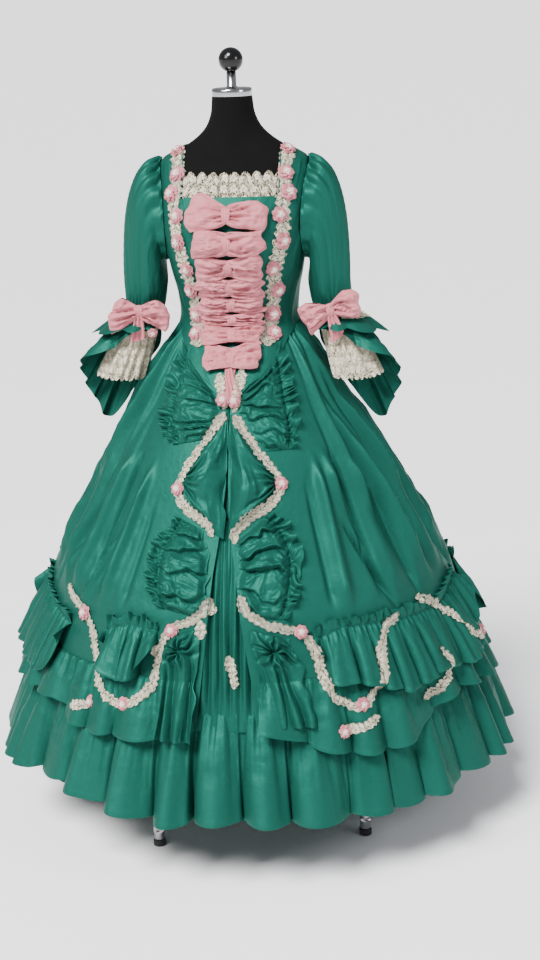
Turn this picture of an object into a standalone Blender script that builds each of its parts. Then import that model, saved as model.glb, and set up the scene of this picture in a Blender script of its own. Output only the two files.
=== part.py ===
"""A rococo ball gown of green taffeta, worn by a limbless dress form on a four-legged stand.

Metres, +Z up, front towards -Y. The origin is on the floor, midway under the hem.
Angles on the figure are in degrees: 0 is the centre front, 90 the side towards +X, 180 the centre back.
"""

import math
from collections import namedtuple

import bmesh
import bpy
import numpy as np
from mathutils import Vector

# Driving dimensions
CLOTH = 0.0020                  # taffeta wall
LACE = 0.0014                   # lace wall
SEAM = 0.0004                   # gap that keeps sewn pieces apart
BODICE_OUT = 0.0028             # the bodice lies this far outside the skirt's top
BODICE_SKIN = BODICE_OUT + CLOTH
WAIST = 1.090                   # height of the side waist
NECKLINE = 1.343                # height of the square neckline
STRAP_EDGE = 0.097              # half the width of the square neckline
ARMHOLE_HEIGHT, ARMHOLE_RISE = 1.3125, 0.0985
ARMHOLE_ANGLE = 25.0            # half the armhole's width, in degrees round the figure
SEAM_TURN = 0.15                # degrees left at each side of a skirt's side seam
FORM_AXIS_Y = -0.034            # the form's pole and neck
SIDES = {"right": -1, "left": 1}    # as the wearer has them

Section = namedtuple("Section", "height half_width half_depth centre_y squareness")
FIGURE = (
    Section(0.155, 0.553, 0.520, -0.0015, 2.0),
    Section(0.250, 0.534, 0.500, 0.000, 2.0),
    Section(0.347, 0.510, 0.475, -0.004, 2.0),
    Section(0.440, 0.482, 0.445, -0.008, 2.0),
    Section(0.530, 0.446, 0.410, -0.012, 2.0),
    Section(0.620, 0.395, 0.362, -0.016, 2.0),
    Section(0.711, 0.342, 0.312, -0.021, 2.0),
    Section(0.800, 0.292, 0.268, -0.026, 2.0),
    Section(0.870, 0.250, 0.232, -0.029, 2.0),
    Section(0.932, 0.211, 0.197, -0.032, 2.0),
    Section(0.985, 0.184, 0.166, -0.035, 2.0),
    Section(1.035, 0.155, 0.128, -0.038, 2.0),
    Section(1.090, 0.121, 0.093, -0.040, 2.0),
    Section(1.140, 0.121, 0.096, -0.041, 2.1),
    Section(1.200, 0.133, 0.111, -0.045, 2.2),
    Section(1.260, 0.142, 0.120, -0.048, 2.3),
    Section(1.310, 0.147, 0.111, -0.044, 2.4),
    Section(1.360, 0.149, 0.089, -0.037, 2.4),
    Section(1.395, 0.149, 0.069, -0.030, 2.3),
    Section(1.412, 0.145, 0.060, -0.028, 2.2),
    Section(1.425, 0.124, 0.056, -0.027, 2.1),
    Section(1.440, 0.096, 0.052, -0.026, 2.0),
    Section(1.455, 0.074, 0.049, -0.026, 2.0),
    Section(1.472, 0.057, 0.046, -0.028, 2.0),
    Section(1.495, 0.045, 0.043, -0.031, 2.0),
    Section(1.535, 0.0385, 0.0395, -0.034, 2.0),
)
# The form below the bust, which the skirts hide
FORM_HIPS = (
    Section(0.850, 0.108, 0.078, -0.034, 2.2),
    Section(0.860, 0.136, 0.098, -0.034, 2.2),
    Section(0.900, 0.150, 0.112, -0.034, 2.2),
    Section(0.960, 0.147, 0.108, -0.035, 2.2),
    Section(1.025, 0.126, 0.090, -0.038, 2.1),
    Section(1.085, 0.110, 0.080, -0.040, 2.0),
    Section(1.140, 0.112, 0.086, -0.041, 2.1),
)
# How far the form stays inside the bodice: it carries the gown at the shoulders
FormFit = namedtuple("FormFit", "height clearance")
FORM_FIT = (
    FormFit(1.190, 0.0060),
    FormFit(1.250, 0.0045),
    FormFit(1.330, 0.0040),
    FormFit(1.395, 0.0028),
    FormFit(1.412, 0.0015),
    FormFit(1.535, 0.0009),
)
SHOULDER_HEIGHTS = (1.4375, 1.4325, 1.425, 1.417, 1.409, 1.397, 1.380)

Edge = namedtuple("Edge", "angle height")
BASQUE = (Edge(0, 0.945), Edge(12, 0.980), Edge(25, 1.020), Edge(39, 1.055), Edge(62, 1.080),
          Edge(90, 1.088), Edge(180, 1.088))      # the pointed lower edge of the bodice

Width = namedtuple("Width", "height half_width")
STOMACHER = (Width(0.945, 0.004), Width(0.980, 0.038), Width(1.050, 0.059), Width(1.120, 0.065),
             Width(1.200, 0.073), Width(1.343, 0.090))
BACK_NECKLINE = (Width(1.397, 0.0), Width(1.409, 0.048), Width(1.417, 0.075), Width(1.425, 0.090),
                 Width(1.4325, STRAP_EDGE), Width(1.440, STRAP_EDGE))


def column(rows, name):
    """One named column of a table, as an array."""
    return np.array([getattr(row, name) for row in rows], float)


def smooth(x, xs, ys):
    """Cubic curve through a table's points, with slopes taken from their neighbours."""
    slopes = np.gradient(ys, xs)
    x = np.clip(np.asarray(x, float), xs[0], xs[-1])
    k = np.clip(np.searchsorted(xs, x, side="right") - 1, 0, len(xs) - 2)
    step = xs[k + 1] - xs[k]
    t = (x - xs[k]) / step
    return ((1 + 2 * t) * (1 - t) ** 2 * ys[k] + t * (1 - t) ** 2 * step * slopes[k]
            + t * t * (3 - 2 * t) * ys[k + 1] + t * t * (t - 1) * step * slopes[k + 1])


def read(rows, value, name, key="height"):
    """A table's column at any value of its key column."""
    return smooth(value, column(rows, key), column(rows, name))


def straight(rows, value, name, key="height"):
    """A table's column at any value of its key column, by straight lines."""
    return np.interp(value, column(rows, key), column(rows, name))


def section_point(angle, height, rows=FIGURE):
    """A point on the superellipse of the section at that height."""
    turn = np.radians(angle)
    power = 2.0 / read(rows, height, "squareness")
    across = np.sign(np.sin(turn)) * np.abs(np.sin(turn)) ** power
    ahead = np.sign(np.cos(turn)) * np.abs(np.cos(turn)) ** power
    return np.stack([
        read(rows, height, "half_width") * across,
        read(rows, height, "centre_y") - read(rows, height, "half_depth") * ahead,
        height + 0.0 * across,
    ], axis=-1)


def figure(angle, height, out=0.0):
    """A point on the figure, moved out along the surface's normal."""
    angle, height, out = np.broadcast_arrays(np.asarray(angle, float), height, out)
    turn, rise = 0.4, 0.0015
    round_it = section_point(angle + turn, height) - section_point(angle - turn, height)
    up_it = section_point(angle, height + rise) - section_point(angle, height - rise)
    normal = np.cross(round_it, up_it)
    normal /= np.linalg.norm(normal, axis=-1, keepdims=True)
    return section_point(angle, height) + normal * out[..., None]


def angle_at(half_width, height):
    """The angle at which the section at that height is that far from the middle."""
    share = np.clip(half_width / read(FIGURE, height, "half_width"), 0, 1)
    return np.degrees(np.arcsin(share ** (read(FIGURE, height, "squareness") / 2)))


def mirrored(points):
    """The same sheet on the other side, its columns still running the same way round."""
    return points[:, ::-1] * np.array([-1.0, 1.0, 1.0])


def on_side(points, side):
    return points if side > 0 else mirrored(points)


def finish_named(name, colour, roughness, metallic=0.0):
    material = bpy.data.materials.new(name)
    material.use_nodes = True
    shader = material.node_tree.nodes["Principled BSDF"]
    shader.inputs["Base Color"].default_value = (*colour, 1.0)
    shader.inputs["Roughness"].default_value = roughness
    shader.inputs["Metallic"].default_value = metallic
    return material


def add_object(name, mesh, finish, collection):
    thing = bpy.data.objects.new(name, mesh)
    mesh.materials.append(finish)
    collection.objects.link(thing)
    return thing


def grid_mesh(name, points, wrap):
    """A surface of quads whose rows run down and whose columns run anticlockwise seen from above."""
    rows, columns = points.shape[:2]
    last = columns if wrap else columns - 1
    faces = [(i * columns + j, (i + 1) * columns + j,
              (i + 1) * columns + (j + 1) % columns, i * columns + (j + 1) % columns)
             for i in range(rows - 1) for j in range(last)]
    mesh = bpy.data.meshes.new(name)
    mesh.from_pydata(points.reshape(-1, 3).tolist(), [], faces)
    mesh.shade_smooth()
    return mesh


def sheet(name, points, finish, wall=CLOTH, wrap=False):
    """Cloth: an open surface given its thickness outwards."""
    thing = add_object(name, grid_mesh(name, points, wrap), finish, gown)
    solidify = thing.modifiers.new("wall", "SOLIDIFY")
    solidify.thickness = wall
    solidify.offset = 1.0
    return thing


def loft(name, rings, finish):
    """A closed solid through rings listed from the top down, with flat ends."""
    mesh = grid_mesh(name, rings, wrap=True)
    shape = bmesh.new()
    shape.from_mesh(mesh)
    shape.verts.ensure_lookup_table()
    columns = rings.shape[1]
    shape.faces.new([shape.verts[j] for j in range(columns)])
    shape.faces.new([shape.verts[-1 - j] for j in range(columns)])
    bmesh.ops.recalc_face_normals(shape, faces=shape.faces)
    shape.to_mesh(mesh)
    shape.free()
    return add_object(name, mesh, finish, gown)


def turned(name, profile, finish, x=0.0, y=FORM_AXIS_Y, steps=24):
    """A solid of revolution: (radius, height) points down the outer side, closed at the axis."""
    mesh = bpy.data.meshes.new(name)
    points = [(0.0, 0.0, profile[0][1])]
    points += [(radius, 0.0, height) for radius, height in profile]
    points += [(0.0, 0.0, profile[-1][1])]
    mesh.from_pydata(points, [(i, i + 1) for i in range(len(points) - 1)], [])
    thing = add_object(name, mesh, finish, gown)
    thing.location = (x, y, 0.0)
    screw = thing.modifiers.new("turn", "SCREW")
    screw.steps = screw.render_steps = steps
    screw.use_merge_vertices = True
    screw.merge_threshold = 0.0001
    return thing


def helper_ball(name, place, normal, radii):
    """A round helper whose third radius lies along the normal."""
    mesh = bpy.data.meshes.new(name)
    shape = bmesh.new()
    bmesh.ops.create_uvsphere(shape, u_segments=6, v_segments=3, radius=1.0)
    bmesh.ops.scale(shape, vec=radii, verts=shape.verts)
    turn = Vector((0, 0, 1)).rotation_difference(Vector(normal))
    bmesh.ops.rotate(shape, matrix=turn.to_matrix(), verts=shape.verts)
    bmesh.ops.translate(shape, vec=Vector(place), verts=shape.verts)
    shape.to_mesh(mesh)
    shape.free()
    thing = bpy.data.objects.new(name, mesh)
    thing.hide_render = True
    thing.display_type = "WIRE"
    return thing


def join_to(thing, helpers):
    """Fuses helper solids to a piece with one Boolean."""
    group = bpy.data.collections.new(f"joined_to_{thing.name}")
    cutters.children.link(group)
    for helper in helpers:
        group.objects.link(helper)
    boolean = thing.modifiers.new("join", "BOOLEAN")
    boolean.operation = "UNION"
    boolean.operand_type = "COLLECTION"
    boolean.collection = group
    boolean.solver = "EXACT"
    return thing


# The dress form and its stand
STAND_TURN = 10.0               # the stand is turned a little from the gown's front
POLE_RADIUS = 0.0125
HUB_TOP, HUB_BOTTOM, HUB_RADIUS = 0.172, 0.128, 0.030
LEG_RADIUS = 0.0118
FOOT_RADIUS, FOOT_HEIGHT = 0.0132, 0.014
TIP_HEIGHT = FOOT_HEIGHT + 0.0003
CAP_RADIUS, CAP_HEIGHT = 0.0405, 0.016
POST_RADIUS, POST_TOP = 0.0095, 1.584
KNOB_RADIUS = 0.0245
GAP = 0.0003                    # between neighbouring solid pieces

LegPoint = namedtuple("LegPoint", "reach height")
LEG = (LegPoint(0.0180, 0.150), LegPoint(0.195, 0.143), LegPoint(0.270, 0.116), LegPoint(0.301, 0.082),
       LegPoint(0.310, 0.046), LegPoint(0.310, TIP_HEIGHT))


def leg_helper(name, ahead):
    """A bent tube from inside the hub down to its foot."""
    curve = bpy.data.curves.new(name, "CURVE")
    curve.dimensions = "3D"
    curve.bevel_depth = LEG_RADIUS
    curve.bevel_resolution = 2
    curve.use_fill_caps = True
    spline = curve.splines.new("POLY")
    spline.points.add(len(LEG) - 1)
    for point, row in zip(spline.points, LEG):
        point.co = (row.reach * ahead[0], FORM_AXIS_Y + row.reach * ahead[1], row.height, 1.0)
    guide = bpy.data.objects.new(f"{name}_guide", curve)
    mesh = bpy.data.meshes.new_from_object(guide)
    bpy.data.objects.remove(guide)
    leg = bpy.data.objects.new(name, mesh)
    leg.hide_render = True
    leg.display_type = "WIRE"
    weld = leg.modifiers.new("close_caps", "WELD")
    weld.merge_threshold = 0.00001
    return leg


def build_form():
    jersey = finish_named("form_jersey", (0.012, 0.012, 0.013), 0.85)
    chrome = finish_named("chrome", (0.78, 0.78, 0.80), 0.12, 1.0)
    black = finish_named("black_gloss", (0.012, 0.012, 0.013), 0.15)
    rubber = finish_named("rubber", (0.015, 0.015, 0.016), 0.7)

    angles = np.arange(0, 360, 22.5)
    neck_heights = (1.535, 1.505, 1.480, 1.462, 1.449)
    chest_heights = (1.345, 1.300, 1.250, 1.195)
    upper = [figure(angles, h, BODICE_OUT - straight(FORM_FIT, h, "clearance"))
             for h in neck_heights + SHOULDER_HEIGHTS + chest_heights]
    lower = [section_point(angles, row.height, FORM_HIPS) for row in reversed(FORM_HIPS)]
    rings = np.array(upper + lower)
    rings[0, :, 2] = neck_heights[0]
    loft("form_torso", rings, jersey)

    cap_foot = neck_heights[0] + GAP
    cap_top = cap_foot + CAP_HEIGHT
    turned("neck_cap", [(POST_RADIUS, POST_TOP), (POST_RADIUS, cap_top), (CAP_RADIUS - 0.003, cap_top),
                        (CAP_RADIUS, cap_top - 0.003), (CAP_RADIUS, cap_foot)], chrome, steps=16)
    knob_middle = POST_TOP + GAP + 0.0215
    knob = []
    for step in range(1, 7):
        down = math.radians(30 * step - 10)
        knob.append((KNOB_RADIUS * math.sin(down), knob_middle + KNOB_RADIUS * math.cos(down)))
    knob[-1] = (knob[-1][0], POST_TOP + GAP)
    turned("ball_knob", knob, black, steps=12)

    pole_top = FORM_HIPS[0].height - GAP
    stand = turned("stand", [(POLE_RADIUS, pole_top), (POLE_RADIUS, HUB_TOP),
                             (HUB_RADIUS, HUB_TOP - 0.006), (HUB_RADIUS, HUB_BOTTOM)], chrome, steps=16)
    legs = []
    for k in range(4):
        bearing = math.radians(45 + 90 * k + STAND_TURN)
        ahead = (math.sin(bearing), -math.cos(bearing))
        legs.append(leg_helper(f"leg_{k + 1}", ahead))
        turned(f"foot_{k + 1}", [(FOOT_RADIUS, FOOT_HEIGHT), (FOOT_RADIUS, 0.0)], rubber,
               x=LEG[-1].reach * ahead[0], y=FORM_AXIS_Y + LEG[-1].reach * ahead[1], steps=10)
    join_to(stand, legs)


# The bodice
BODICE_HEIGHTS = (1.343, 1.300, 1.250, 1.200, 1.150, 1.110)
BASQUE_SHARES = (0.15, 0.55)     # rows between the waist and the basque's edge


def armhole_edge(height):
    """The front edge of the armhole, as an angle; 90 where the panel runs on to the side seam."""
    share = np.clip(1 - ((height - ARMHOLE_HEIGHT) / ARMHOLE_RISE) ** 2, 0, 1)
    return 90 - ARMHOLE_ANGLE * np.sqrt(share)


def seam_angle(height):
    """The angle that half a seam's gap takes up at the side."""
    return np.degrees(SEAM / read(FIGURE, height, "half_depth"))


def bodice_panel(inner_edge, low_edge, columns, facing):
    """Rows of a panel from shoulder to basque; facing turns the front's angles to the back."""
    across = np.linspace(0, 1, columns)
    low_angles = low_edge + (90 - seam_angle(WAIST) - low_edge) * across
    low_heights = straight(BASQUE, facing(low_angles), "height", key="angle")
    last = BODICE_HEIGHTS[-1]
    rows = []
    for height in SHOULDER_HEIGHTS + BODICE_HEIGHTS:
        inner = inner_edge(height)
        outer = armhole_edge(height) - seam_angle(height)
        rows.append(figure(facing(inner + (outer - inner) * across), height, BODICE_OUT))
    for share in BASQUE_SHARES:
        heights = last + (low_heights - last) * share
        inner = inner_edge(float(heights[0]))
        angles = inner + (90 - seam_angle(WAIST) - inner) * across
        rows.append(figure(facing(angles), heights, BODICE_OUT))
    rows.append(figure(facing(low_angles), low_heights, BODICE_OUT))
    return np.array(rows)


def stomacher_edge(height):
    return angle_at(read(STOMACHER, height, "half_width"), height)


def front_inner_edge(height):
    """The front panel starts at the strap's edge above the neckline and at the stomacher below it."""
    if height > NECKLINE + 0.001:
        return angle_at(STRAP_EDGE, height)
    return angle_at(read(STOMACHER, height, "half_width") + SEAM, height)


def back_inner_edge(height):
    """The back panel starts at the round back neckline and, below it, at the centre back."""
    return angle_at(straight(BACK_NECKLINE, height, "half_width") + SEAM, height)


def build_bodice(taffeta):
    low = STOMACHER[1].height
    front = bodice_panel(front_inner_edge, front_inner_edge(low), 6, lambda angle: angle)
    back = bodice_panel(back_inner_edge, back_inner_edge(WAIST), 7, lambda angle: 180 - angle)
    for name, side in SIDES.items():
        sheet(f"bodice_front_{name}", on_side(front, side), taffeta)
        sheet(f"bodice_back_{name}", on_side(back[:, ::-1], side), taffeta)

    last = BODICE_HEIGHTS[-1]
    between = tuple(last + (low - last) * share for share in BASQUE_SHARES)
    rows = []
    for height in BODICE_HEIGHTS + between + (low, STOMACHER[0].height):
        edge = stomacher_edge(height)
        rows.append(figure(np.linspace(-edge, edge, 6), height, BODICE_OUT))
    sheet("stomacher", np.array(rows), taffeta)


# The skirts: how far each layer's inner face lies from the figure
Layers = namedtuple("Layers", "height petticoat overskirt")
LAYERS = (
    Layers(0.165, -0.042, -0.020),
    Layers(0.300, -0.040, -0.020),
    Layers(0.380, -0.038, -0.020),
    Layers(0.450, -0.034, -0.0185),
    Layers(0.500, -0.030, -0.0150),
    Layers(0.530, -0.028, -0.0100),
    Layers(0.560, -0.026, -0.0045),
    Layers(0.600, -0.024, 0.0000),
    Layers(0.700, -0.018, 0.0000),
    Layers(0.850, -0.013, 0.0000),
    Layers(0.930, -0.011, -0.0012),
    Layers(1.060, -0.0044, -0.0012),
    Layers(1.110, -0.0044, -0.0012),
)
PETTICOAT_TOP, PETTICOAT_HEM = 1.060, 0.168
OVERSKIRT_ROWS = (WAIST, 1.078, 1.010, 0.900, 0.760, 0.640, 0.560, 0.490, 0.360)
OVERSKIRT_UNDER = 0.006         # how far the overskirt's top reaches up under the bodice
FOLD_DEPTH = 0.0045
FOLD_STEP = 13.0                # degrees from one soft fold of the overskirt to the next

Opening = namedtuple("Opening", "height right left")
OPENING = (Opening(0.340, 6.5, 8.5), Opening(0.450, 5.4, 6.6), Opening(0.550, 4.3, 4.6),
           Opening(0.640, 3.4, 3.2), Opening(0.720, 1.8, 1.2), Opening(0.800, 0.4, 0.4),
           Opening(0.960, 0.3, 0.3))


def overskirt_out(angle, height):
    """The overskirt's inner face: plain under the front's trimmings, softly folded elsewhere."""
    angle, height = np.broadcast_arrays(np.asarray(angle, float), height)
    plain = straight(LAYERS, height, "overskirt")
    from_front = np.abs((angle + 180) % 360 - 180)
    to_sides = np.clip((from_front - 46) / 14, 0, 1)
    down = np.clip((1.06 - height) / 0.25, 0, 1) * np.clip((height - 0.57) / 0.08, 0, 1)
    return plain + FOLD_DEPTH * to_sides * down * np.cos(2 * np.pi * angle / FOLD_STEP)


def overskirt_panel(edge, seam_turn, columns):
    """A front of the overskirt, from its open edge to the side seam."""
    heights = np.array(OVERSKIRT_ROWS)
    share = np.linspace(0, 1, columns)
    top = straight(BASQUE, 90 * share, "height", key="angle") + OVERSKIRT_UNDER
    t = ((heights[0] - heights) / (heights[0] - heights[-1]))[:, None]
    z = top + (heights[-1] - top) * t
    inner = straight(OPENING, z, edge)
    angle = inner + (90 - seam_turn - inner) * share
    return angle, z


def build_skirts(taffeta):
    around = np.arange(0, 360, 10.0)
    heights = np.array([PETTICOAT_TOP, 0.94, 0.80, 0.66, 0.53, 0.38, PETTICOAT_HEM])[:, None]
    inner = figure(around, heights, straight(LAYERS, heights, "petticoat"))
    sheet("petticoat", inner, taffeta, wrap=True)

    for name, side in SIDES.items():
        angle, z = overskirt_panel(name, SEAM_TURN, 15)
        points = figure(angle, z, overskirt_out(side * angle, z))
        sheet(f"overskirt_{name}", on_side(points, side), taffeta)
    share = np.linspace(0, 1, 21)
    angle = 90 + SEAM_TURN + (180 - 2 * SEAM_TURN) * share
    heights = np.array((OVERSKIRT_ROWS[0] + OVERSKIRT_UNDER,) + OVERSKIRT_ROWS[1:])[:, None]
    sheet("overskirt_back", figure(angle, heights, overskirt_out(angle, heights)), taffeta)


# Ruffles
Ruffle = namedtuple("Ruffle", "name start end waves gather hem rise frill depth")
Hem = namedtuple("Hem", "angle height")
BOTTOM_HEM = (Hem(0, 0.172), Hem(15, 0.162), Hem(30, 0.158), Hem(45, 0.160), Hem(62, 0.168),
              Hem(90, 0.164), Hem(120, 0.158), Hem(150, 0.164), Hem(180, 0.158), Hem(210, 0.164),
              Hem(240, 0.158), Hem(270, 0.168), Hem(300, 0.172), Hem(317, 0.190), Hem(335, 0.170),
              Hem(347, 0.158), Hem(360, 0.172))
MIDDLE_HEM = (Hem(10, 0.345), Hem(20, 0.311), Hem(29, 0.285), Hem(40, 0.278), Hem(50, 0.310),
              Hem(60, 0.345), Hem(75, 0.330), Hem(92, 0.300), Hem(112, 0.285), Hem(132, 0.330),
              Hem(156, 0.300), Hem(180, 0.285), Hem(204, 0.300), Hem(228, 0.330), Hem(248, 0.285),
              Hem(268, 0.300), Hem(290, 0.335), Hem(312, 0.350), Hem(324, 0.312), Hem(337, 0.316),
              Hem(352, 0.330))


STEPS_PER_WAVE = 3
RUFFLE_GAP = 0.0010             # between a ruffle's top and the skirt that it is sewn to
# The waves, the top, and the offsets and swings at the rows below the top
BOTTOM_WAVES, BOTTOM_TOP = 28, 0.384
BOTTOM_OUT, BOTTOM_SWING = (-0.025, -0.011), (0.0, 0.0065, 0.0115)
MIDDLE_WAVES, MIDDLE_TOP, MIDDLE_ENDS = 23, 0.440, (9.0, 352.0)
MIDDLE_OUT, MIDDLE_SWING = (-0.0125, -0.0055), (0.0, 0.0030, 0.0085)


def waved_sheet(name, finish, angles, heights, middle, swing, waves, wall=CLOTH, wrap=False):
    """A ruffle on the skirt: rows of heights, each with its middle offset and its waves' swing."""
    share = np.linspace(0, 1, len(angles)) if not wrap else np.arange(len(angles)) / len(angles)
    wave = np.cos(2 * np.pi * waves * share)
    rows = [figure(angles, z, out + reach * wave) for z, out, reach in zip(heights, middle, swing)]
    return sheet(name, np.array(rows), finish, wall, wrap)


def build_ruffles(taffeta):
    around = np.arange(0, 360, 360 / (BOTTOM_WAVES * STEPS_PER_WAVE))
    hem = straight(BOTTOM_HEM, around, "height", key="angle")
    top = BOTTOM_TOP + 0 * around
    at_top = straight(LAYERS, top, "petticoat") + CLOTH + RUFFLE_GAP
    waved_sheet("bottom_ruffle", taffeta, around, (top, (top + hem) / 2, hem),
                (at_top,) + BOTTOM_OUT, BOTTOM_SWING, BOTTOM_WAVES, wrap=True)

    angles = np.linspace(*MIDDLE_ENDS, MIDDLE_WAVES * STEPS_PER_WAVE + 1)
    hem = straight(MIDDLE_HEM, angles, "height", key="angle")
    top = MIDDLE_TOP + 0 * angles
    at_top = straight(LAYERS, top, "overskirt") + CLOTH + RUFFLE_GAP
    waved_sheet("middle_ruffle", taffeta, angles, (top, 0.62 * top + 0.38 * hem, hem),
                (at_top,) + MIDDLE_OUT, MIDDLE_SWING, MIDDLE_WAVES)


# Ruffles of the festoons: a gathered line with a short frill above it
FESTOONS = (
    Ruffle("festoon_right_front", -35.0, -17.5, 4,
           (Hem(-35, 0.514), Hem(-27, 0.533), Hem(-17, 0.530)),
           (Hem(-35, 0.440), Hem(-27, 0.425), Hem(-17, 0.450)), 0.020, 0.0020, 0.0080),
    Ruffle("festoon_right_side", -84.0, -49.0, 7,
           (Hem(-84, 0.545), Hem(-66, 0.525), Hem(-49, 0.500)),
           (Hem(-84, 0.410), Hem(-66, 0.395), Hem(-49, 0.385)), 0.018, 0.0020, 0.0080),
    Ruffle("festoon_left", 22.5, 84.0, 11,
           (Hem(22, 0.512), Hem(32, 0.530), Hem(52, 0.518), Hem(69, 0.515), Hem(84, 0.545)),
           (Hem(22, 0.425), Hem(32, 0.425), Hem(45, 0.385), Hem(57, 0.400), Hem(69, 0.385),
            Hem(84, 0.400)), 0.020, 0.0020, 0.0080),
    Ruffle("festoon_back", 95.0, 265.0, 17,
           (Hem(95, 0.540), Hem(137, 0.515), Hem(180, 0.545), Hem(223, 0.515), Hem(265, 0.540)),
           (Hem(95, 0.400), Hem(137, 0.395), Hem(180, 0.410), Hem(223, 0.395), Hem(265, 0.400)),
           0.018, 0.0020, 0.0080),
)


FESTOON_GAP = 0.0006            # between the overskirt and a gathered line


def festoon_hem_out(hem):
    """The lower a festoon hangs over the middle ruffle, the further out its hem stands."""
    return 0.13 * np.maximum(0.425 - hem, 0) - 0.0015


def build_festoons(taffeta):
    for row in FESTOONS:
        angles = np.linspace(row.start, row.end, row.waves * 3 + 1)
        gather = straight(row.gather, angles, "height", key="angle")
        hem = straight(row.hem, angles, "height", key="angle")
        top = gather + row.rise
        base = straight(LAYERS, gather, "overskirt") + CLOTH + FESTOON_GAP
        above = np.maximum(straight(LAYERS, top, "overskirt") + CLOTH + 0.0050, base + 0.001)
        waved_sheet(row.name, taffeta, angles, (top, gather, hem), (above, base, festoon_hem_out(hem)),
                    (row.frill, 0.0, row.depth), row.waves)


# What lies on the fronts of the overskirt: ruched and puffed panels between two edges
Patch = namedtuple("Patch", "name right_edge left_edge rows columns puff pleats pleat_depth")
PATCHES = (
    Patch("ruched_upper_right",
          (Edge(-43.0, 1.052), Edge(-43.2, 0.995), Edge(-42.2, 0.942), Edge(-38.0, 0.900),
           Edge(-27.0, 0.866)),
          (Edge(-9.5, 0.966), Edge(-6.0, 0.948), Edge(-5.0, 0.930), Edge(-7.5, 0.905),
           Edge(-12.5, 0.880)),
          10, 6, 0.0060, 3.5, 0.0026),
    Patch("ruched_upper_left",
          (Edge(8.5, 0.966), Edge(5.0, 0.948), Edge(6.5, 0.930), Edge(11.5, 0.896),
           Edge(17.5, 0.858)),
          (Edge(40.0, 1.052), Edge(39.0, 0.992), Edge(37.5, 0.946), Edge(35.0, 0.900),
           Edge(30.0, 0.858)),
          10, 6, 0.0060, 3.5, 0.0026),
    Patch("pouf_right",
          (Edge(-2.6, 0.938), Edge(-5.6, 0.905), Edge(-11.0, 0.866), Edge(-16.0, 0.826), Edge(-18.2, 0.796),
           Edge(-13.6, 0.762), Edge(-8.6, 0.742), Edge(-4.6, 0.712)),
          (Edge(-0.5, 0.934), Edge(-0.7, 0.890), Edge(-0.7, 0.860), Edge(-0.7, 0.820), Edge(-0.7, 0.780),
           Edge(-0.7, 0.750), Edge(-0.7, 0.725), Edge(-0.7, 0.700)),
          9, 6, 0.0150, 2.5, 0.0015),
    Patch("pouf_left",
          (Edge(0.5, 0.928), Edge(0.7, 0.890), Edge(0.7, 0.860), Edge(0.7, 0.820), Edge(0.7, 0.780),
           Edge(0.7, 0.750), Edge(0.7, 0.725), Edge(0.7, 0.700)),
          (Edge(2.6, 0.924), Edge(7.6, 0.892), Edge(13.5, 0.852), Edge(18.0, 0.820), Edge(19.0, 0.790),
           Edge(13.2, 0.760), Edge(7.5, 0.738), Edge(2.5, 0.708)),
          9, 6, 0.0150, 2.5, 0.0015),
    Patch("ruched_lower_right",
          (Edge(-17.5, 0.737), Edge(-22.5, 0.700), Edge(-24.5, 0.655), Edge(-23.0, 0.612),
           Edge(-18.6, 0.574)),
          (Edge(-8.2, 0.716), Edge(-5.6, 0.670), Edge(-4.8, 0.630), Edge(-5.2, 0.592), Edge(-7.0, 0.561)),
          9, 6, 0.0100, 3.5, 0.0028),
    Patch("ruched_lower_left",
          (Edge(3.2, 0.694), Edge(4.6, 0.664), Edge(4.6, 0.632), Edge(4.8, 0.600), Edge(7.4, 0.560)),
          (Edge(16.0, 0.748), Edge(22.2, 0.716), Edge(23.6, 0.665), Edge(21.4, 0.605), Edge(16.8, 0.556)),
          9, 6, 0.0100, 3.5, 0.0028),
    Patch("fall_right",
          (Edge(-15.0, 0.519), Edge(-15.6, 0.470), Edge(-15.0, 0.400), Edge(-15.4, 0.328)),
          (Edge(-6.6, 0.540), Edge(-6.4, 0.480), Edge(-6.6, 0.400), Edge(-6.4, 0.326)),
          6, 7, 0.0060, 1.0, 0.0010),
    Patch("fall_left",
          (Edge(6.4, 0.540), Edge(7.4, 0.480), Edge(8.4, 0.420), Edge(9.2, 0.358)),
          (Edge(17.0, 0.520), Edge(19.0, 0.470), Edge(20.6, 0.410), Edge(21.2, 0.352)),
          6, 7, 0.0060, 1.0, 0.0010),
)
PATCH_GAP = 0.00118              # between the overskirt and the edge of what is sewn on it


def edge_points(edge, count):
    """Points spread evenly down an edge: their angles and heights."""
    at = np.linspace(0, len(edge) - 1, count)
    known = np.arange(len(edge))
    return np.interp(at, known, column(edge, "angle")), np.interp(at, known, column(edge, "height"))


def surface_out(height):
    """The outer face of the plain overskirt or, lower down, of the middle ruffle's crests."""
    on_skirt = straight(LAYERS, height, "overskirt") + CLOTH
    down = np.clip((0.440 - np.asarray(height)) / 0.120, 0, 1)
    return on_skirt + 0.0250 * down ** 0.7


def build_patches(taffeta):
    for row in PATCHES:
        right_angle, right_height = edge_points(row.right_edge, row.rows)
        left_angle, left_height = edge_points(row.left_edge, row.rows)
        s = np.linspace(0, 1, row.columns)
        t = np.linspace(0, 1, row.rows)[:, None]
        angle = right_angle[:, None] * (1 - s) + left_angle[:, None] * s
        height = right_height[:, None] * (1 - s) + left_height[:, None] * s
        ends = figure(left_angle, left_height) - figure(right_angle, right_height)
        width = np.linalg.norm(ends, axis=-1)
        swell = np.sin(np.pi * s) ** 2 * np.sin(np.pi * t) ** 0.7 * np.clip(width / 0.05, 0, 1)[:, None]
        pleat = np.sin(2 * np.pi * (row.pleats * t + 0.35 * s)) * np.sin(np.pi * s) * np.sin(np.pi * t)
        raised = row.puff * swell + row.pleat_depth * (pleat + np.abs(pleat))
        out = surface_out(height) + PATCH_GAP + raised
        sheet(row.name, figure(angle, height, out), taffeta)


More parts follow.
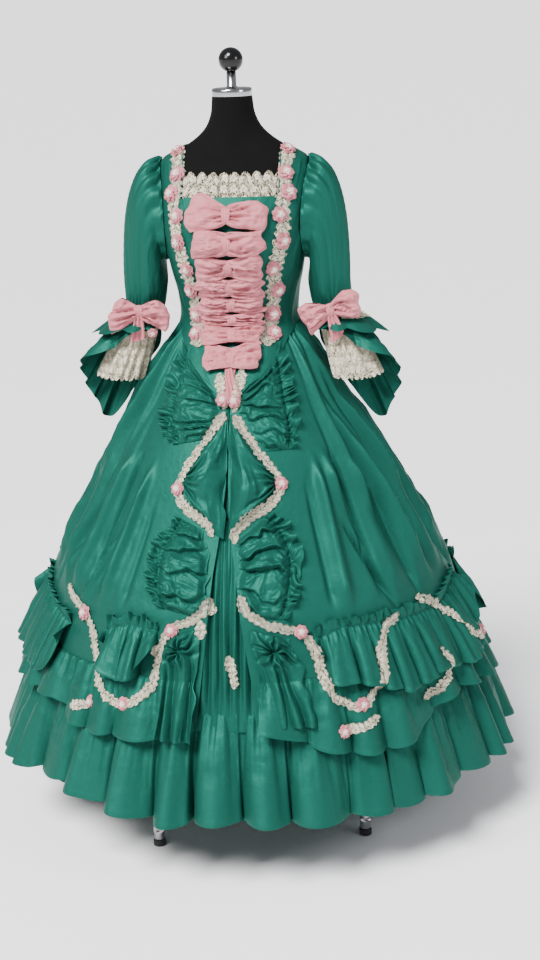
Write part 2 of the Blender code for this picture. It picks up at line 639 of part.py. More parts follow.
# The strip of petticoat that shows between the overskirt's fronts
StripRow = namedtuple("StripRow", "height lift")
STRIP = (StripRow(0.690, 0.0), StripRow(0.560, 0.0), StripRow(0.440, 0.0), StripRow(0.385, 0.0026),
         StripRow(0.338, 0.0064))
STRIP_ENDS, STRIP_FOLD, STRIP_SWING = (-7.5, 9.5), 4.25, 0.0022


def build_front_strip(taffeta):
    angles = np.linspace(*STRIP_ENDS, 13)
    heights, lift = column(STRIP, "height")[:, None], column(STRIP, "lift")[:, None]
    under = straight(LAYERS, heights, "petticoat") + CLOTH
    over = straight(LAYERS, heights, "overskirt")
    swing = STRIP_SWING * np.cos(2 * np.pi * (angles - 1.0) / STRIP_FOLD)
    points = figure(angles, heights, (under + over - CLOTH) / 2 + lift + swing)
    sheet("petticoat_front", points, taffeta)


# Sleeves, ruffled at the elbow
Ring = namedtuple("Ring", "inner_x inner_z outer_x outer_z y depth")
SLEEVE = (
    Ring(0.1465, 1.2075, 0.1780, 1.4040, -0.0435, 0.0575),
    Ring(0.1500, 1.2000, 0.2030, 1.3680, -0.0430, 0.0585),
    Ring(0.1505, 1.1880, 0.2195, 1.3050, -0.0435, 0.0560),
    Ring(0.1510, 1.1650, 0.2290, 1.2200, -0.0460, 0.0500),
    Ring(0.1550, 1.1320, 0.2330, 1.1520, -0.0500, 0.0435),
    Ring(0.1630, 1.1000, 0.2340, 1.1080, -0.0530, 0.0370),
)
SLEEVE_COLUMNS = 14
CUFF_X, CUFF_Y, CUFF_Z = 0.1985, -0.0530, 1.1040
CUFF_TILT = 0.0040              # the cuff's outer edge is this much higher than its middle
LEAN_X, LEAN_Y = 0.385, -0.250  # the ruffles hang outwards and forwards, clear of the skirt

UPPER_TOP, UPPER_SPREAD = 0.0402, 0.0478    # the upper flounce: reach at its top, and its flare
WING_TOP, FRILL_TOP = 0.0362, 0.0341
Wing = namedtuple("Wing", "angle drop reach")
WING = (Wing(0, 0.150, 0.085), Wing(60, 0.215, 0.082), Wing(90, 0.235, 0.074),
        Wing(120, 0.160, 0.066), Wing(150, 0.080, 0.054), Wing(180, 0.030, 0.0405),
        Wing(225, 0.040, 0.046), Wing(270, 0.050, 0.053), Wing(310, 0.075, 0.080),
        Wing(335, 0.095, 0.100), Wing(360, 0.150, 0.085))


def cuff_rows(turns, drops, reaches):
    """Rows round the cuff: how far below it each lies, and how far out from the leaning axis."""
    rows = []
    for drop, reach in zip(drops, reaches):
        z = CUFF_Z + CUFF_TILT * np.cos(turns) - drop
        rows.append(np.stack([CUFF_X + LEAN_X * np.maximum(drop, 0) + reach * np.cos(turns),
                              CUFF_Y + LEAN_Y * np.maximum(drop, 0) + reach * np.sin(turns), z], axis=-1))
    return np.array(rows)


def around_turns(count):
    return np.arange(count) * 2 * np.pi / count


def build_sleeves(taffeta, lace):
    turns = around_turns(SLEEVE_COLUMNS)
    rows = [figure(90 + (ARMHOLE_ANGLE + 1.6) * np.sin(turns),
                   ARMHOLE_HEIGHT + (ARMHOLE_RISE + 0.0015) * np.cos(turns), BODICE_SKIN + 0.0020)]
    for ring in SLEEVE:
        share = (1 + np.cos(turns)) / 2
        rows.append(np.stack([ring.inner_x + (ring.outer_x - ring.inner_x) * share,
                              ring.y + ring.depth * np.sin(turns),
                              ring.inner_z + (ring.outer_z - ring.inner_z) * share], axis=-1))
    sleeve = np.array(rows)

    turns = around_turns(21)
    wave = np.cos(7 * turns)
    spread = UPPER_SPREAD * (0.66 + 0.34 * np.cos(turns))
    upper = cuff_rows(turns, (-0.003, 0.018, 0.048),
                      (UPPER_TOP, UPPER_TOP + 0.5 * spread + 0.0015 * wave,
                       UPPER_TOP + spread + 0.004 * wave))

    turns = around_turns(24)
    wave = np.cos(8 * turns)
    degrees = np.degrees(turns)
    drop = straight(WING, degrees, "drop", key="angle")
    spread = straight(WING, degrees, "reach", key="angle") - WING_TOP
    wing = cuff_rows(turns, (0.0021 + 0 * drop, 0.4 * drop, drop),
                     (WING_TOP, WING_TOP + spread * (0.50 + 0.03 * wave),
                      WING_TOP + spread * (1 + 0.10 * wave)))
    frill = cuff_rows(turns, (0.0030, 0.055, 0.128),
                      (FRILL_TOP, 0.0400 + 0.0010 * wave, 0.0500 + 0.0030 * wave))
    for name, side in SIDES.items():
        sheet(f"sleeve_{name}", on_side(sleeve, side), taffeta, wrap=True)
        sheet(f"cuff_upper_ruffle_{name}", on_side(upper, side), taffeta, wrap=True)
        sheet(f"cuff_wing_{name}", on_side(wing, side), taffeta, wrap=True)
        sheet(f"cuff_lace_{name}", on_side(frill, side), lace, LACE, wrap=True)


# Bows
CHIFFON = 0.0012                # chiffon wall
Bow = namedtuple("Bow", "height half_width half_height fullness lift")
BOWS = (
    Bow(1.3110, 0.0800, 0.0290, 0.021, 0.0018),
    Bow(1.2585, 0.0770, 0.0215, 0.019, 0.0027),
    Bow(1.2150, 0.0670, 0.0205, 0.018, 0.0010),
    Bow(1.1745, 0.0655, 0.0185, 0.018, 0.0014),
    Bow(1.1365, 0.0630, 0.0180, 0.018, 0.0018),
    Bow(1.1000, 0.0570, 0.0170, 0.017, 0.0023),
    Bow(1.0645, 0.0560, 0.0165, 0.017, 0.0032),
    Bow(1.0240, 0.0540, 0.0200, 0.016, 0.0009),
)
CUFF_BOW = Bow(1.1150, 0.0550, 0.0230, 0.022, 0.0032)
CUFF_BOW_X, CUFF_BOW_Y = 0.1960, -0.1020
CHEST_CURVE = 0.19              # how sharply the chest curves, top to bottom, as a radius
TAILS = (Width(1.000, 0.016), Width(0.985, 0.019), Width(0.968, 0.016), Width(0.952, 0.007))
TAIL_LIFT = 0.0007 + 0.0030 * np.array([0.0, 1.0, 0.2, 1.0, 0.0])   # two folds across the tails


def bow(name, chiffon, place, size):
    """A flat loop of chiffon pinched in the middle; place turns (across, up, ahead) into a point."""
    turns = np.radians(np.arange(12) * 30.0 - 90)
    across = size.half_width * np.sin(turns)
    ahead = (size.fullness * np.abs(np.sin(turns)) + 0.0012) * np.cos(turns)
    middle = size.lift + CHIFFON + 0.433 * size.fullness + size.half_height ** 2 / (2 * CHEST_CURVE)
    up = size.half_height * (0.35 + 0.65 * np.abs(np.sin(turns)) ** 0.6)
    sheet(name, np.array([place(across, up, middle + ahead), place(across, -up, middle + ahead)]),
          chiffon, CHIFFON, wrap=True)


def on_stomacher(height):
    def place(across, up, ahead):
        z = height + up
        return figure(np.sign(across) * angle_at(np.abs(across), z), z, BODICE_SKIN + ahead)
    return place


def on_cuff(side):
    def place(across, up, ahead):
        return np.stack([side * CUFF_BOW_X + across, CUFF_BOW_Y - ahead, CUFF_BOW.height + up], axis=-1)
    return place


def build_bows(chiffon):
    for k, row in enumerate(BOWS):
        bow(f"bow_{k + 1}", chiffon, on_stomacher(row.height), row)
    for name, side in SIDES.items():
        bow(f"cuff_bow_{name}", chiffon, on_cuff(side), CUFF_BOW)
    rows = []
    for row in TAILS:
        edge = angle_at(row.half_width, row.height)
        rows.append(figure(np.linspace(-edge, edge, len(TAIL_LIFT)), row.height, BODICE_SKIN + TAIL_LIFT))
    sheet("bow_tails", np.array(rows), chiffon, CHIFFON)


# Lace: the frill of the neckline, the edgings of the bodice and the swags of the skirt
Edging = namedtuple("Edging", "height half_width")
EDGING = (Edging(1.418, 0.107), Edging(1.396, 0.1065), Edging(1.343, 0.1075), Edging(1.293, 0.1060),
          Edging(1.233, 0.0945), Edging(1.164, 0.0810), Edging(1.104, 0.0745), Edging(1.045, 0.0680))
EDGING_WIDTH = 0.019
Rose = namedtuple("Rose", "height right left")
BODICE_ROSES = (Rose(1.411, 0.111, 0.112), Rose(1.385, 0.106, 0.109), Rose(1.349, 0.115, 0.115),
                Rose(1.309, 0.101, 0.099), Rose(1.260, 0.099, 0.104), Rose(1.206, 0.084, 0.083),
                Rose(1.160, 0.082, 0.088), Rose(1.109, 0.073, 0.076), Rose(1.068, 0.076, 0.079))
ROSE = (0.0125, 0.0125, 0.0060)

Swag = namedtuple("Swag", "name points roses lift")
SWAGS = (
    Swag("lace_diamond_right",
         (Edge(-2.6, 0.931), Edge(-5.4, 0.911), Edge(-11.2, 0.873), Edge(-16.4, 0.832), Edge(-19.4, 0.797),
          Edge(-17.6, 0.768), Edge(-13.8, 0.750), Edge(-9.2, 0.739), Edge(-5.6, 0.722), Edge(-4.2, 0.704)),
         (Edge(-19.6, 0.787),), 0.0082),
    Swag("lace_diamond_left",
         (Edge(2.6, 0.925), Edge(7.6, 0.893), Edge(14.2, 0.852), Edge(19.0, 0.824), Edge(20.8, 0.796),
          Edge(18.2, 0.772), Edge(13.0, 0.752), Edge(7.0, 0.731), Edge(3.6, 0.712), Edge(2.4, 0.692)),
         (Edge(21.0, 0.797),), 0.0078),
    Swag("lace_swag_right",
         (Edge(-3.6, 0.596), Edge(-5.8, 0.568), Edge(-9.4, 0.552), Edge(-13.4, 0.536), Edge(-16.4, 0.500),
          Edge(-17.2, 0.455), Edge(-18.8, 0.412), Edge(-23.6, 0.384), Edge(-29.5, 0.389), Edge(-34.0, 0.420),
          Edge(-36.6, 0.465), Edge(-39.0, 0.505), Edge(-43.2, 0.531), Edge(-48.6, 0.545), Edge(-55.4, 0.566)),
         (Edge(-13.8, 0.534), Edge(-24.4, 0.383), Edge(-43.4, 0.531)), 0.0082),
    Swag("lace_swag_left",
         (Edge(4.0, 0.600), Edge(6.2, 0.570), Edge(10.5, 0.550), Edge(15.0, 0.541), Edge(19.7, 0.532),
          Edge(22.8, 0.495), Edge(24.2, 0.450), Edge(26.4, 0.402), Edge(31.7, 0.378), Edge(36.0, 0.396),
          Edge(38.3, 0.430), Edge(40.2, 0.475), Edge(43.6, 0.512), Edge(48.6, 0.530)),
         (Edge(19.9, 0.531), Edge(32.6, 0.380)), 0.0049),
    Swag("lace_swag_side",
         (Edge(57.5, 0.545), Edge(64.0, 0.520), Edge(70.0, 0.478), Edge(74.5, 0.425), Edge(80.0, 0.415),
          Edge(85.0, 0.440), Edge(88.0, 0.485)),
         (Edge(80.5, 0.416),), 0.0050),
)
SWAG_WIDTH = 0.011


def festoon_crest(angle, height):
    """The outer face of the festoons' crests, far inside where there is no festoon."""
    crest = np.full(np.shape(angle), -0.1)
    for row in FESTOONS:
        gather = straight(row.gather, angle, "height", key="angle")
        hem = straight(row.hem, angle, "height", key="angle")
        base = straight(LAYERS, gather, "overskirt") + CLOTH + FESTOON_GAP
        down = np.clip((gather - height) / (gather - hem), -0.35, 1)
        below = (row.depth + festoon_hem_out(hem) - base) * np.maximum(down, 0)
        out = base + below + 0.065 * np.maximum(-down, 0)
        inside = (angle > row.start - 3) & (angle < row.end + 3)
        inside &= (height > hem - 0.012) & (height < gather + row.rise + 0.008)
        crest = np.where(inside, np.maximum(crest, out + CLOTH), crest)
    return crest


def lace_out(angle, height, lift):
    """The inner face of lace laid over whatever is under it, evened out along its length."""
    folds = overskirt_out(angle, height) - straight(LAYERS, height, "overskirt")
    on_skirt = surface_out(height) + np.maximum(folds, 0) + lift
    out = np.maximum(on_skirt, festoon_crest(angle, height) + lift - 0.0045)
    wider = np.maximum(out, np.maximum(np.append(out[1:], out[-1]), np.append(out[0], out[:-1])))
    padded = np.concatenate([wider[:1], wider, wider[-1:]])
    return np.maximum(out, (padded[:-2] + padded[1:-1] + padded[2:]) / 3)


def ribbon(angle, height, out, width):
    """A strip along a path on the figure: rows across it, columns along it."""
    middle = figure(angle, height, out)
    normal = figure(angle, height, out + 0.001) - middle
    normal /= np.linalg.norm(normal, axis=-1, keepdims=True)
    along = np.gradient(middle, axis=0)
    across = -np.cross(normal, along)
    across /= np.linalg.norm(across, axis=-1, keepdims=True)
    return np.array([middle - across * width / 2, middle + across * width / 2])


def rose_on(name, angle, height, out):
    """A rose whose underside dips a little into the lace."""
    middle = figure(angle, height, out + ROSE[2] - 0.0009)
    normal = figure(angle, height, out + 0.001) - figure(angle, height, out)
    return helper_ball(name, middle, normal, ROSE)


NeckRow = namedtuple("NeckRow", "height out swing")
NECK_LACE = (NeckRow(1.326, 0.0008, 0.0), NeckRow(1.350, 0.0010, 0.0), NeckRow(1.372, 0.0030, 0.0008),
             NeckRow(1.388, 0.0050, 0.0018))
NECK_LACE_HALF, NECK_LACE_COLUMNS = 0.091, 15


def build_lace(lace):
    across = np.linspace(-NECK_LACE_HALF, NECK_LACE_HALF, NECK_LACE_COLUMNS)
    wave = np.cos(np.pi * np.arange(NECK_LACE_COLUMNS))
    rows = []
    for row in NECK_LACE:
        angle = np.sign(across) * angle_at(np.abs(across), row.height)
        rows.append(figure(angle, row.height, row.out + row.swing * wave))
    sheet("neckline_lace", np.array(rows), lace, LACE)

    half = EDGING_WIDTH / 2
    at = np.array((1.418, 1.409, 1.397, 1.380) + BODICE_HEIGHTS + (1.097, 1.070, 1.045))
    middle = read(EDGING[::-1], at, "half_width")[:, None]
    out = BODICE_SKIN + 0.0030
    band = figure(angle_at(middle + np.array([-half, 0.0, half]), at[:, None]), at[:, None], out)
    for name, side in SIDES.items():
        edging = sheet(f"edging_lace_{name}", on_side(band, side), lace, LACE)
        roses = []
        for k, row in enumerate(BODICE_ROSES):
            angle = side * angle_at(getattr(row, name), row.height)
            roses.append(rose_on(f"rose_{k + 1}_of_edging_{name}", angle, row.height, out))
        join_to(edging, roses)

    for row in SWAGS:
        count = int(1.6 * len(row.points))
        at = np.linspace(0, len(row.points) - 1, count)
        known = np.arange(len(row.points))
        angle = smooth(at, known, column(row.points, "angle"))
        height = smooth(at, known, column(row.points, "height"))
        out = lace_out(angle, height, row.lift)
        strip = sheet(row.name, ribbon(angle, height, out, SWAG_WIDTH), lace, LACE)
        roses = []
        for k, rose in enumerate(row.roses):
            nearest = np.argmin((np.radians(angle - rose.angle) * 0.4) ** 2 + (height - rose.height) ** 2)
            roses.append(rose_on(f"rose_{k + 1}_of_{row.name}", rose.angle, rose.height, out[nearest]))
        join_to(strip, roses)


def main():
    build_form()
    taffeta = finish_named("green_taffeta", (0.02, 0.22, 0.16), 0.38)
    build_bodice(taffeta)
    build_skirts(taffeta)
    build_ruffles(taffeta)
    build_festoons(taffeta)
    build_patches(taffeta)
    build_front_strip(taffeta)
    lace = finish_named("cream_lace", (0.72, 0.68, 0.58), 0.8)
    build_sleeves(taffeta, lace)
    build_bows(finish_named("pink_chiffon", (0.72, 0.36, 0.38), 0.6))
    build_lace(lace)


for leftover in list(bpy.data.objects):
    bpy.data.objects.remove(leftover, do_unlink=True)
gown = bpy.data.collections.new("ball_gown")
cutters = bpy.data.collections.new("cutters")
cutters.hide_render = True
bpy.context.scene.collection.children.link(gown)
bpy.context.scene.collection.children.link(cutters)
main()
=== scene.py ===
import math
from collections import namedtuple

import bpy
import numpy as np
from mathutils import Matrix, Vector
from mathutils.bvhtree import BVHTree


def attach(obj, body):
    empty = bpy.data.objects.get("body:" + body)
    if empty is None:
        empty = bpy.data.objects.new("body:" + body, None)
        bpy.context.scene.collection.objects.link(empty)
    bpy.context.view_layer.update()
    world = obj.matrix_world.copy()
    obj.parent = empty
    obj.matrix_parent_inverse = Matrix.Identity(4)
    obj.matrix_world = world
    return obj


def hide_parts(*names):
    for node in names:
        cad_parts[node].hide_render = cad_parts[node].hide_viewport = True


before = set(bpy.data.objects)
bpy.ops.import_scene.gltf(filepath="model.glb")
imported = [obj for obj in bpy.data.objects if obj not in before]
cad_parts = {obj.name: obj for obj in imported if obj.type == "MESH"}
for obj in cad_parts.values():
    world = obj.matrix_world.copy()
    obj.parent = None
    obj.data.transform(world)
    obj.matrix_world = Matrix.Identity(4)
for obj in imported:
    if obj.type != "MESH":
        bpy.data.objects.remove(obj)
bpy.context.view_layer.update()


# The dress form's body: a padded shell from the neck to the hips, covered in one skin of
# black jersey. It is made in a mould, so it is smooth, and the gown hangs from its shoulders.
Section = namedtuple("Section", "height half_width half_depth centre_y squareness")
FIGURE = (
    Section(0.155, 0.553, 0.520, -0.0015, 2.0),
    Section(0.250, 0.534, 0.500, 0.000, 2.0),
    Section(0.347, 0.510, 0.475, -0.004, 2.0),
    Section(0.440, 0.482, 0.445, -0.008, 2.0),
    Section(0.530, 0.446, 0.410, -0.012, 2.0),
    Section(0.620, 0.395, 0.362, -0.016, 2.0),
    Section(0.711, 0.342, 0.312, -0.021, 2.0),
    Section(0.800, 0.292, 0.268, -0.026, 2.0),
    Section(0.870, 0.250, 0.232, -0.029, 2.0),
    Section(0.932, 0.211, 0.197, -0.032, 2.0),
    Section(0.985, 0.184, 0.166, -0.035, 2.0),
    Section(1.035, 0.155, 0.128, -0.038, 2.0),
    Section(1.090, 0.121, 0.093, -0.040, 2.0),
    Section(1.140, 0.121, 0.096, -0.041, 2.1),
    Section(1.200, 0.133, 0.111, -0.045, 2.2),
    Section(1.260, 0.142, 0.120, -0.048, 2.3),
    Section(1.310, 0.147, 0.111, -0.044, 2.4),
    Section(1.360, 0.149, 0.089, -0.037, 2.4),
    Section(1.395, 0.149, 0.069, -0.030, 2.3),
    Section(1.412, 0.145, 0.060, -0.028, 2.2),
    Section(1.425, 0.124, 0.056, -0.027, 2.1),
    Section(1.440, 0.096, 0.052, -0.026, 2.0),
    Section(1.455, 0.074, 0.049, -0.026, 2.0),
    Section(1.472, 0.057, 0.046, -0.028, 2.0),
    Section(1.495, 0.045, 0.043, -0.031, 2.0),
    Section(1.535, 0.0385, 0.0395, -0.034, 2.0),
)
FORM_HIPS = (
    Section(0.850, 0.108, 0.078, -0.034, 2.2),
    Section(0.860, 0.136, 0.098, -0.034, 2.2),
    Section(0.900, 0.150, 0.112, -0.034, 2.2),
    Section(0.960, 0.147, 0.108, -0.035, 2.2),
    Section(1.025, 0.126, 0.090, -0.038, 2.1),
    Section(1.085, 0.110, 0.080, -0.040, 2.0),
    Section(1.140, 0.112, 0.086, -0.041, 2.1),
)
FormFit = namedtuple("FormFit", "height clearance")
FORM_FIT = (FormFit(1.190, 0.0060), FormFit(1.250, 0.0045), FormFit(1.330, 0.0040),
            FormFit(1.395, 0.0028), FormFit(1.412, 0.0015), FormFit(1.535, 0.0009))
FORM_TOP, FORM_UPPER_FOOT = 1.535, 1.190
BODICE_OUT = 0.0028
FORM_COLUMNS = 96
FORM_AXIS_Y = -0.034


def hermite(values, slopes, k, t, step=1.0):
    """Cubic between rows k and k + 1 that keeps their values and their slopes."""
    return ((1 + 2 * t) * (1 - t) ** 2 * values[k] + t * (1 - t) ** 2 * step * slopes[k]
            + t * t * (3 - 2 * t) * values[k + 1] + t * t * (t - 1) * step * slopes[k + 1])


def smooth(x, xs, ys):
    """Cubic curve through a table's points, with slopes taken from their neighbours."""
    x = np.clip(np.asarray(x, float), xs[0], xs[-1])
    k = np.clip(np.searchsorted(xs, x, side="right") - 1, 0, len(xs) - 2)
    step = xs[k + 1] - xs[k]
    return hermite(ys, np.gradient(ys, xs), k, (x - xs[k]) / step, step)


def column(rows, name):
    """One named column of a table, as an array."""
    return np.array([getattr(row, name) for row in rows], float)


def read(rows, value, name, key="height"):
    """A table's column at any value of its key column, along a smooth curve."""
    return smooth(value, column(rows, key), column(rows, name))


def straight(rows, value, name, key="height"):
    """A table's column at any value of its key column, along straight lines."""
    return np.interp(value, column(rows, key), column(rows, name))


def section_point(angle, height, rows=FIGURE):
    """A point on the superellipse of the section at that height; 0 degrees is the front."""
    turn = np.radians(angle)
    power = 2.0 / read(rows, height, "squareness")
    across = np.sign(np.sin(turn)) * np.abs(np.sin(turn)) ** power
    ahead = np.sign(np.cos(turn)) * np.abs(np.cos(turn)) ** power
    return np.stack([read(rows, height, "half_width") * across,
                     read(rows, height, "centre_y") - read(rows, height, "half_depth") * ahead,
                     height + 0.0 * across], axis=-1)


def figure_normal(angle, height):
    """The outward normal of the figure: the cross product of its two slopes."""
    turn, rise = 0.4, 0.0015
    round_it = section_point(angle + turn, height) - section_point(angle - turn, height)
    up_it = section_point(angle, height + rise) - section_point(angle, height - rise)
    normal = np.cross(round_it, up_it)
    return normal / np.linalg.norm(normal, axis=-1, keepdims=True)


def figure(angle, height, out=0.0):
    """A point on the figure, moved out along its normal."""
    angle, height, out = np.broadcast_arrays(np.asarray(angle, float), height, out)
    return section_point(angle, height) + figure_normal(angle, height) * out[..., None]


def lengths(points, axis):
    """Distance walked along one axis of a grid of points, starting at nought."""
    step = np.linalg.norm(np.diff(points, axis=axis), axis=-1)
    walked = np.cumsum(step, axis=axis)
    first = np.zeros_like(np.take(walked, [0], axis=axis))
    return np.concatenate([first, walked], axis=axis)


def closed(grid, wrap=True):
    """The grid with its first column repeated at its end, where it goes all round."""
    return np.concatenate([grid, grid[:, :1]], axis=1) if wrap else grid


def piece_of(name, points, faces, finish):
    """An object at the origin from corner points and the numbers of each face's corners."""
    mesh = bpy.data.meshes.new(name)
    mesh.from_pydata(points.reshape(-1, 3).tolist(), [], faces.tolist())
    mesh.shade_smooth()
    mesh.materials.append(finish)
    piece = bpy.data.objects.new(name, mesh)
    bpy.context.scene.collection.objects.link(piece)
    return piece


def grid_corners(rows, columns):
    """Row and column numbers of the four corners of every quad, anticlockwise from outside."""
    i, j = np.meshgrid(np.arange(rows - 1), np.arange(columns - 1), indexing="ij")
    return (i, j), (i + 1, j), (i + 1, j + 1), (i, j + 1)


def surface(name, points, finish, wrap=False):
    """Quads through a grid: rows run down, columns anticlockwise from above, so faces look out.

    The UV map holds metres walked along each row and down each column.
    """
    columns = points.shape[1]
    wide = closed(points, wrap)
    corners = grid_corners(*wide.shape[:2])
    faces = np.stack([a * columns + b % columns for a, b in corners], axis=-1).reshape(-1, 4)
    along, down = lengths(wide, 1), lengths(wide, 0)
    along = along - along[:, wide.shape[1] // 2][:, None]
    uv = np.stack([np.stack([along[a, b], -down[a, b]], axis=-1) for a, b in corners], axis=2)
    piece = piece_of(name, points, faces, finish)
    piece.data.uv_layers.new(name="cloth").data.foreach_set("uv", uv.astype(np.float32).ravel())
    return piece


def cloud(x, y, seed):
    """Smooth noise from -1 to 1: fixed random heights on a lattice, blended by smoothstep."""
    table = np.random.default_rng(seed).uniform(-1, 1, (64, 64))
    xi, yi = np.floor(x).astype(int), np.floor(y).astype(int)
    fx, fy = x - xi, y - yi
    fx, fy = fx * fx * (3 - 2 * fx), fy * fy * (3 - 2 * fy)
    near = table[yi % 64, xi % 64] * (1 - fx) + table[yi % 64, (xi + 1) % 64] * fx
    far = table[(yi + 1) % 64, xi % 64] * (1 - fx) + table[(yi + 1) % 64, (xi + 1) % 64] * fx
    return near * (1 - fy) + far * fy


def creases(x, y, seed):
    """Sharp-crested creases from -1 to 1: three octaves of folded noise on wandering axes."""
    x2 = x + 0.7 * cloud(0.6 * x, 0.6 * y, seed + 11)
    y2 = y + 0.7 * cloud(0.6 * x, 0.6 * y, seed + 12)
    total = sum((1 - 2.6 * np.abs(cloud(k * x2, k * y2, seed + k))) / k for k in (1, 2, 4))
    return total / 1.75


class Wire:
    """A socket in an expression: arithmetic on it adds Math nodes."""

    def __init__(self, paint, socket):
        self.paint, self.socket = paint, socket

    def maths(self, operation, *values):
        """Any other Math node, fed by this socket and the values."""
        made = self.paint.node("ShaderNodeMath", {"operation": operation},
                               dict(enumerate((self,) + values)))
        return self.paint.wire(made, 0)

    def __add__(self, other):
        return self.maths("ADD", other)

    def __sub__(self, other):
        return self.maths("SUBTRACT", other)

    def __rsub__(self, other):
        return self.maths("MULTIPLY", -1.0).maths("ADD", other)

    def __mul__(self, other):
        return self.maths("MULTIPLY", other)

    def above(self, edge, blur):
        """Nought below the edge and one above it, with a soft step between."""
        return ((self - edge) * (1.0 / blur) + 0.5).clamp()

    def clamp(self):
        made = self.paint.node("ShaderNodeClamp", {}, {"Value": self})
        return self.paint.wire(made, 0)

    __radd__, __rmul__ = __add__, __mul__


class Paint:
    """A material being built round one Principled shader."""

    def __init__(self, name, **constants):
        self.material = bpy.data.materials.new(name)
        self.material.use_nodes = True
        self.tree = self.material.node_tree
        self.shader = self.tree.nodes["Principled BSDF"]
        for socket, value in constants.items():
            self.shader.inputs[socket.replace("_", " ")].default_value = value

    def node(self, kind, settings, inputs):
        """Adds a node: its settings first, then a value or a link for each named socket."""
        made = self.tree.nodes.new(kind)
        for name, value in settings.items():
            setattr(made, name, value)
        self.feed(made, inputs)
        return made

    def feed(self, made, inputs):
        """Links a socket's wire, or sets its value, for each named input."""
        for name, value in inputs.items():
            socket = made.inputs[name]
            if isinstance(value, Wire):
                self.tree.links.new(value.socket, socket)
            elif socket.type == "RGBA":
                socket.default_value = (*value, 1.0)
            else:
                socket.default_value = value

    def wire(self, made, output):
        return Wire(self, made.outputs[output])

    def place(self, source, scale=(1.0, 1.0, 1.0)):
        """The UV map or the object's own coordinates, scaled."""
        if source == "uv":
            start = self.wire(self.node("ShaderNodeUVMap", {"uv_map": "cloth"}, {}), "UV")
        else:
            start = self.wire(self.node("ShaderNodeTexCoord", {}, {}), "Object")
        made = self.node("ShaderNodeMapping", {}, {"Vector": start, "Scale": scale})
        return self.wire(made, 0)

    def noise(self, where, scale, detail=2.0, distortion=0.0):
        """Cloudy noise from nought to one."""
        made = self.node("ShaderNodeTexNoise", {}, {"Vector": where, "Scale": scale,
                                                    "Detail": detail, "Distortion": distortion})
        return self.wire(made, 0)

    def cells(self, where, scale):
        """The distance to the nearest edge between Voronoi cells."""
        made = self.node("ShaderNodeTexVoronoi", {"feature": "DISTANCE_TO_EDGE"},
                         {"Vector": where, "Scale": scale})
        return self.wire(made, "Distance")

    def mix(self, share, first, second):
        """The first colour where the share is nought and the second where it is one."""
        made = self.node("ShaderNodeMix", {"data_type": "RGBA"}, {0: share, 6: first, 7: second})
        return self.wire(made, 2)

    def bump(self, height, distance, strength):
        """A normal from a height; the distance is the height's full depth in metres."""
        made = self.node("ShaderNodeBump", {}, {"Height": height, "Distance": distance,
                                                "Strength": strength})
        return self.wire(made, 0)

    def finish(self, **sockets):
        """Feeds the shader's sockets and hands over the material."""
        self.feed(self.shader, {name.replace("_", " "): value for name, value in sockets.items()})
        return self.material


def jersey_finish():
    """Black knitted jersey: fine ribs of thread, and a dusty bloom that varies slowly."""
    paint = Paint("black_jersey", Roughness=0.9, Specular_IOR_Level=0.1)
    ribs = paint.noise(paint.place("uv", (1.0, 0.25, 1.0)), 1400.0, 1.0)
    bloom = paint.noise(paint.place("object"), 14.0, 3.0)
    colour = paint.mix(bloom, (0.0012, 0.0011, 0.0011), (0.0034, 0.0031, 0.0031))
    return paint.finish(Base_Color=colour, Normal=paint.bump(ribs, 0.0004, 0.6))


jersey = jersey_finish()
form_angles = np.arange(FORM_COLUMNS) * 360.0 / FORM_COLUMNS
upper_heights = np.linspace(FORM_TOP, FORM_UPPER_FOOT, 70)[:, None]
upper_form = figure(form_angles, upper_heights, BODICE_OUT
                    - straight(FORM_FIT, upper_heights, "clearance"))
upper_form[0, :, 2] = FORM_TOP
lower_heights = np.linspace(FORM_HIPS[-1].height, FORM_HIPS[0].height, 40)[:, None]
lower_form = section_point(form_angles, lower_heights, FORM_HIPS)
middle_of_foot = np.broadcast_to([0.0, FORM_AXIS_Y, FORM_HIPS[0].height], (1, FORM_COLUMNS, 3))
form_grid = np.concatenate([upper_form, lower_form, middle_of_foot])
form_body = surface("form_body", form_grid, jersey, wrap=True)
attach(form_body, "root")
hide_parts("form_torso")


# The form's neck cap, its post and the ball knob: the cap and post are spun and chromed steel
# screwed through the neck, and the knob is a turned ball with a glossy black lacquer.
CAP_FOOT, CAP_TOP, CAP_RADIUS = 1.5353, 1.5513, 0.0405
POST_RADIUS, POST_TOP = 0.0095, 1.584
KNOB_RADIUS, KNOB_MIDDLE = 0.0245, 1.6058
KNOB_SEAT = 28.0                # degrees off the knob's lowest point, where it meets the post


def spun(name, profile, finish, x=0.0, y=FORM_AXIS_Y, columns=64):
    """A solid of revolution: radius and height pairs from the top down, closed at the axis."""
    profile = np.array([(0.0, profile[0][1]), *profile, (0.0, profile[-1][1])])
    turn = np.radians(np.arange(columns) * 360.0 / columns)
    points = np.stack([x + profile[:, :1] * np.sin(turn), y - profile[:, :1] * np.cos(turn),
                       profile[:, 1:] + 0 * turn], axis=-1)
    return surface(name, points, finish, wrap=True)


def chrome_finish():
    """Polished chrome plate with faint wiping marks in its gloss."""
    paint = Paint("polished_chrome", Metallic=1.0)
    marks = paint.noise(paint.place("object", (1.0, 1.0, 6.0)), 60.0, 4.0)
    return paint.finish(Base_Color=paint.mix(marks, (0.34, 0.34, 0.35), (0.46, 0.46, 0.47)),
                        Roughness=marks * 0.12 + 0.10)


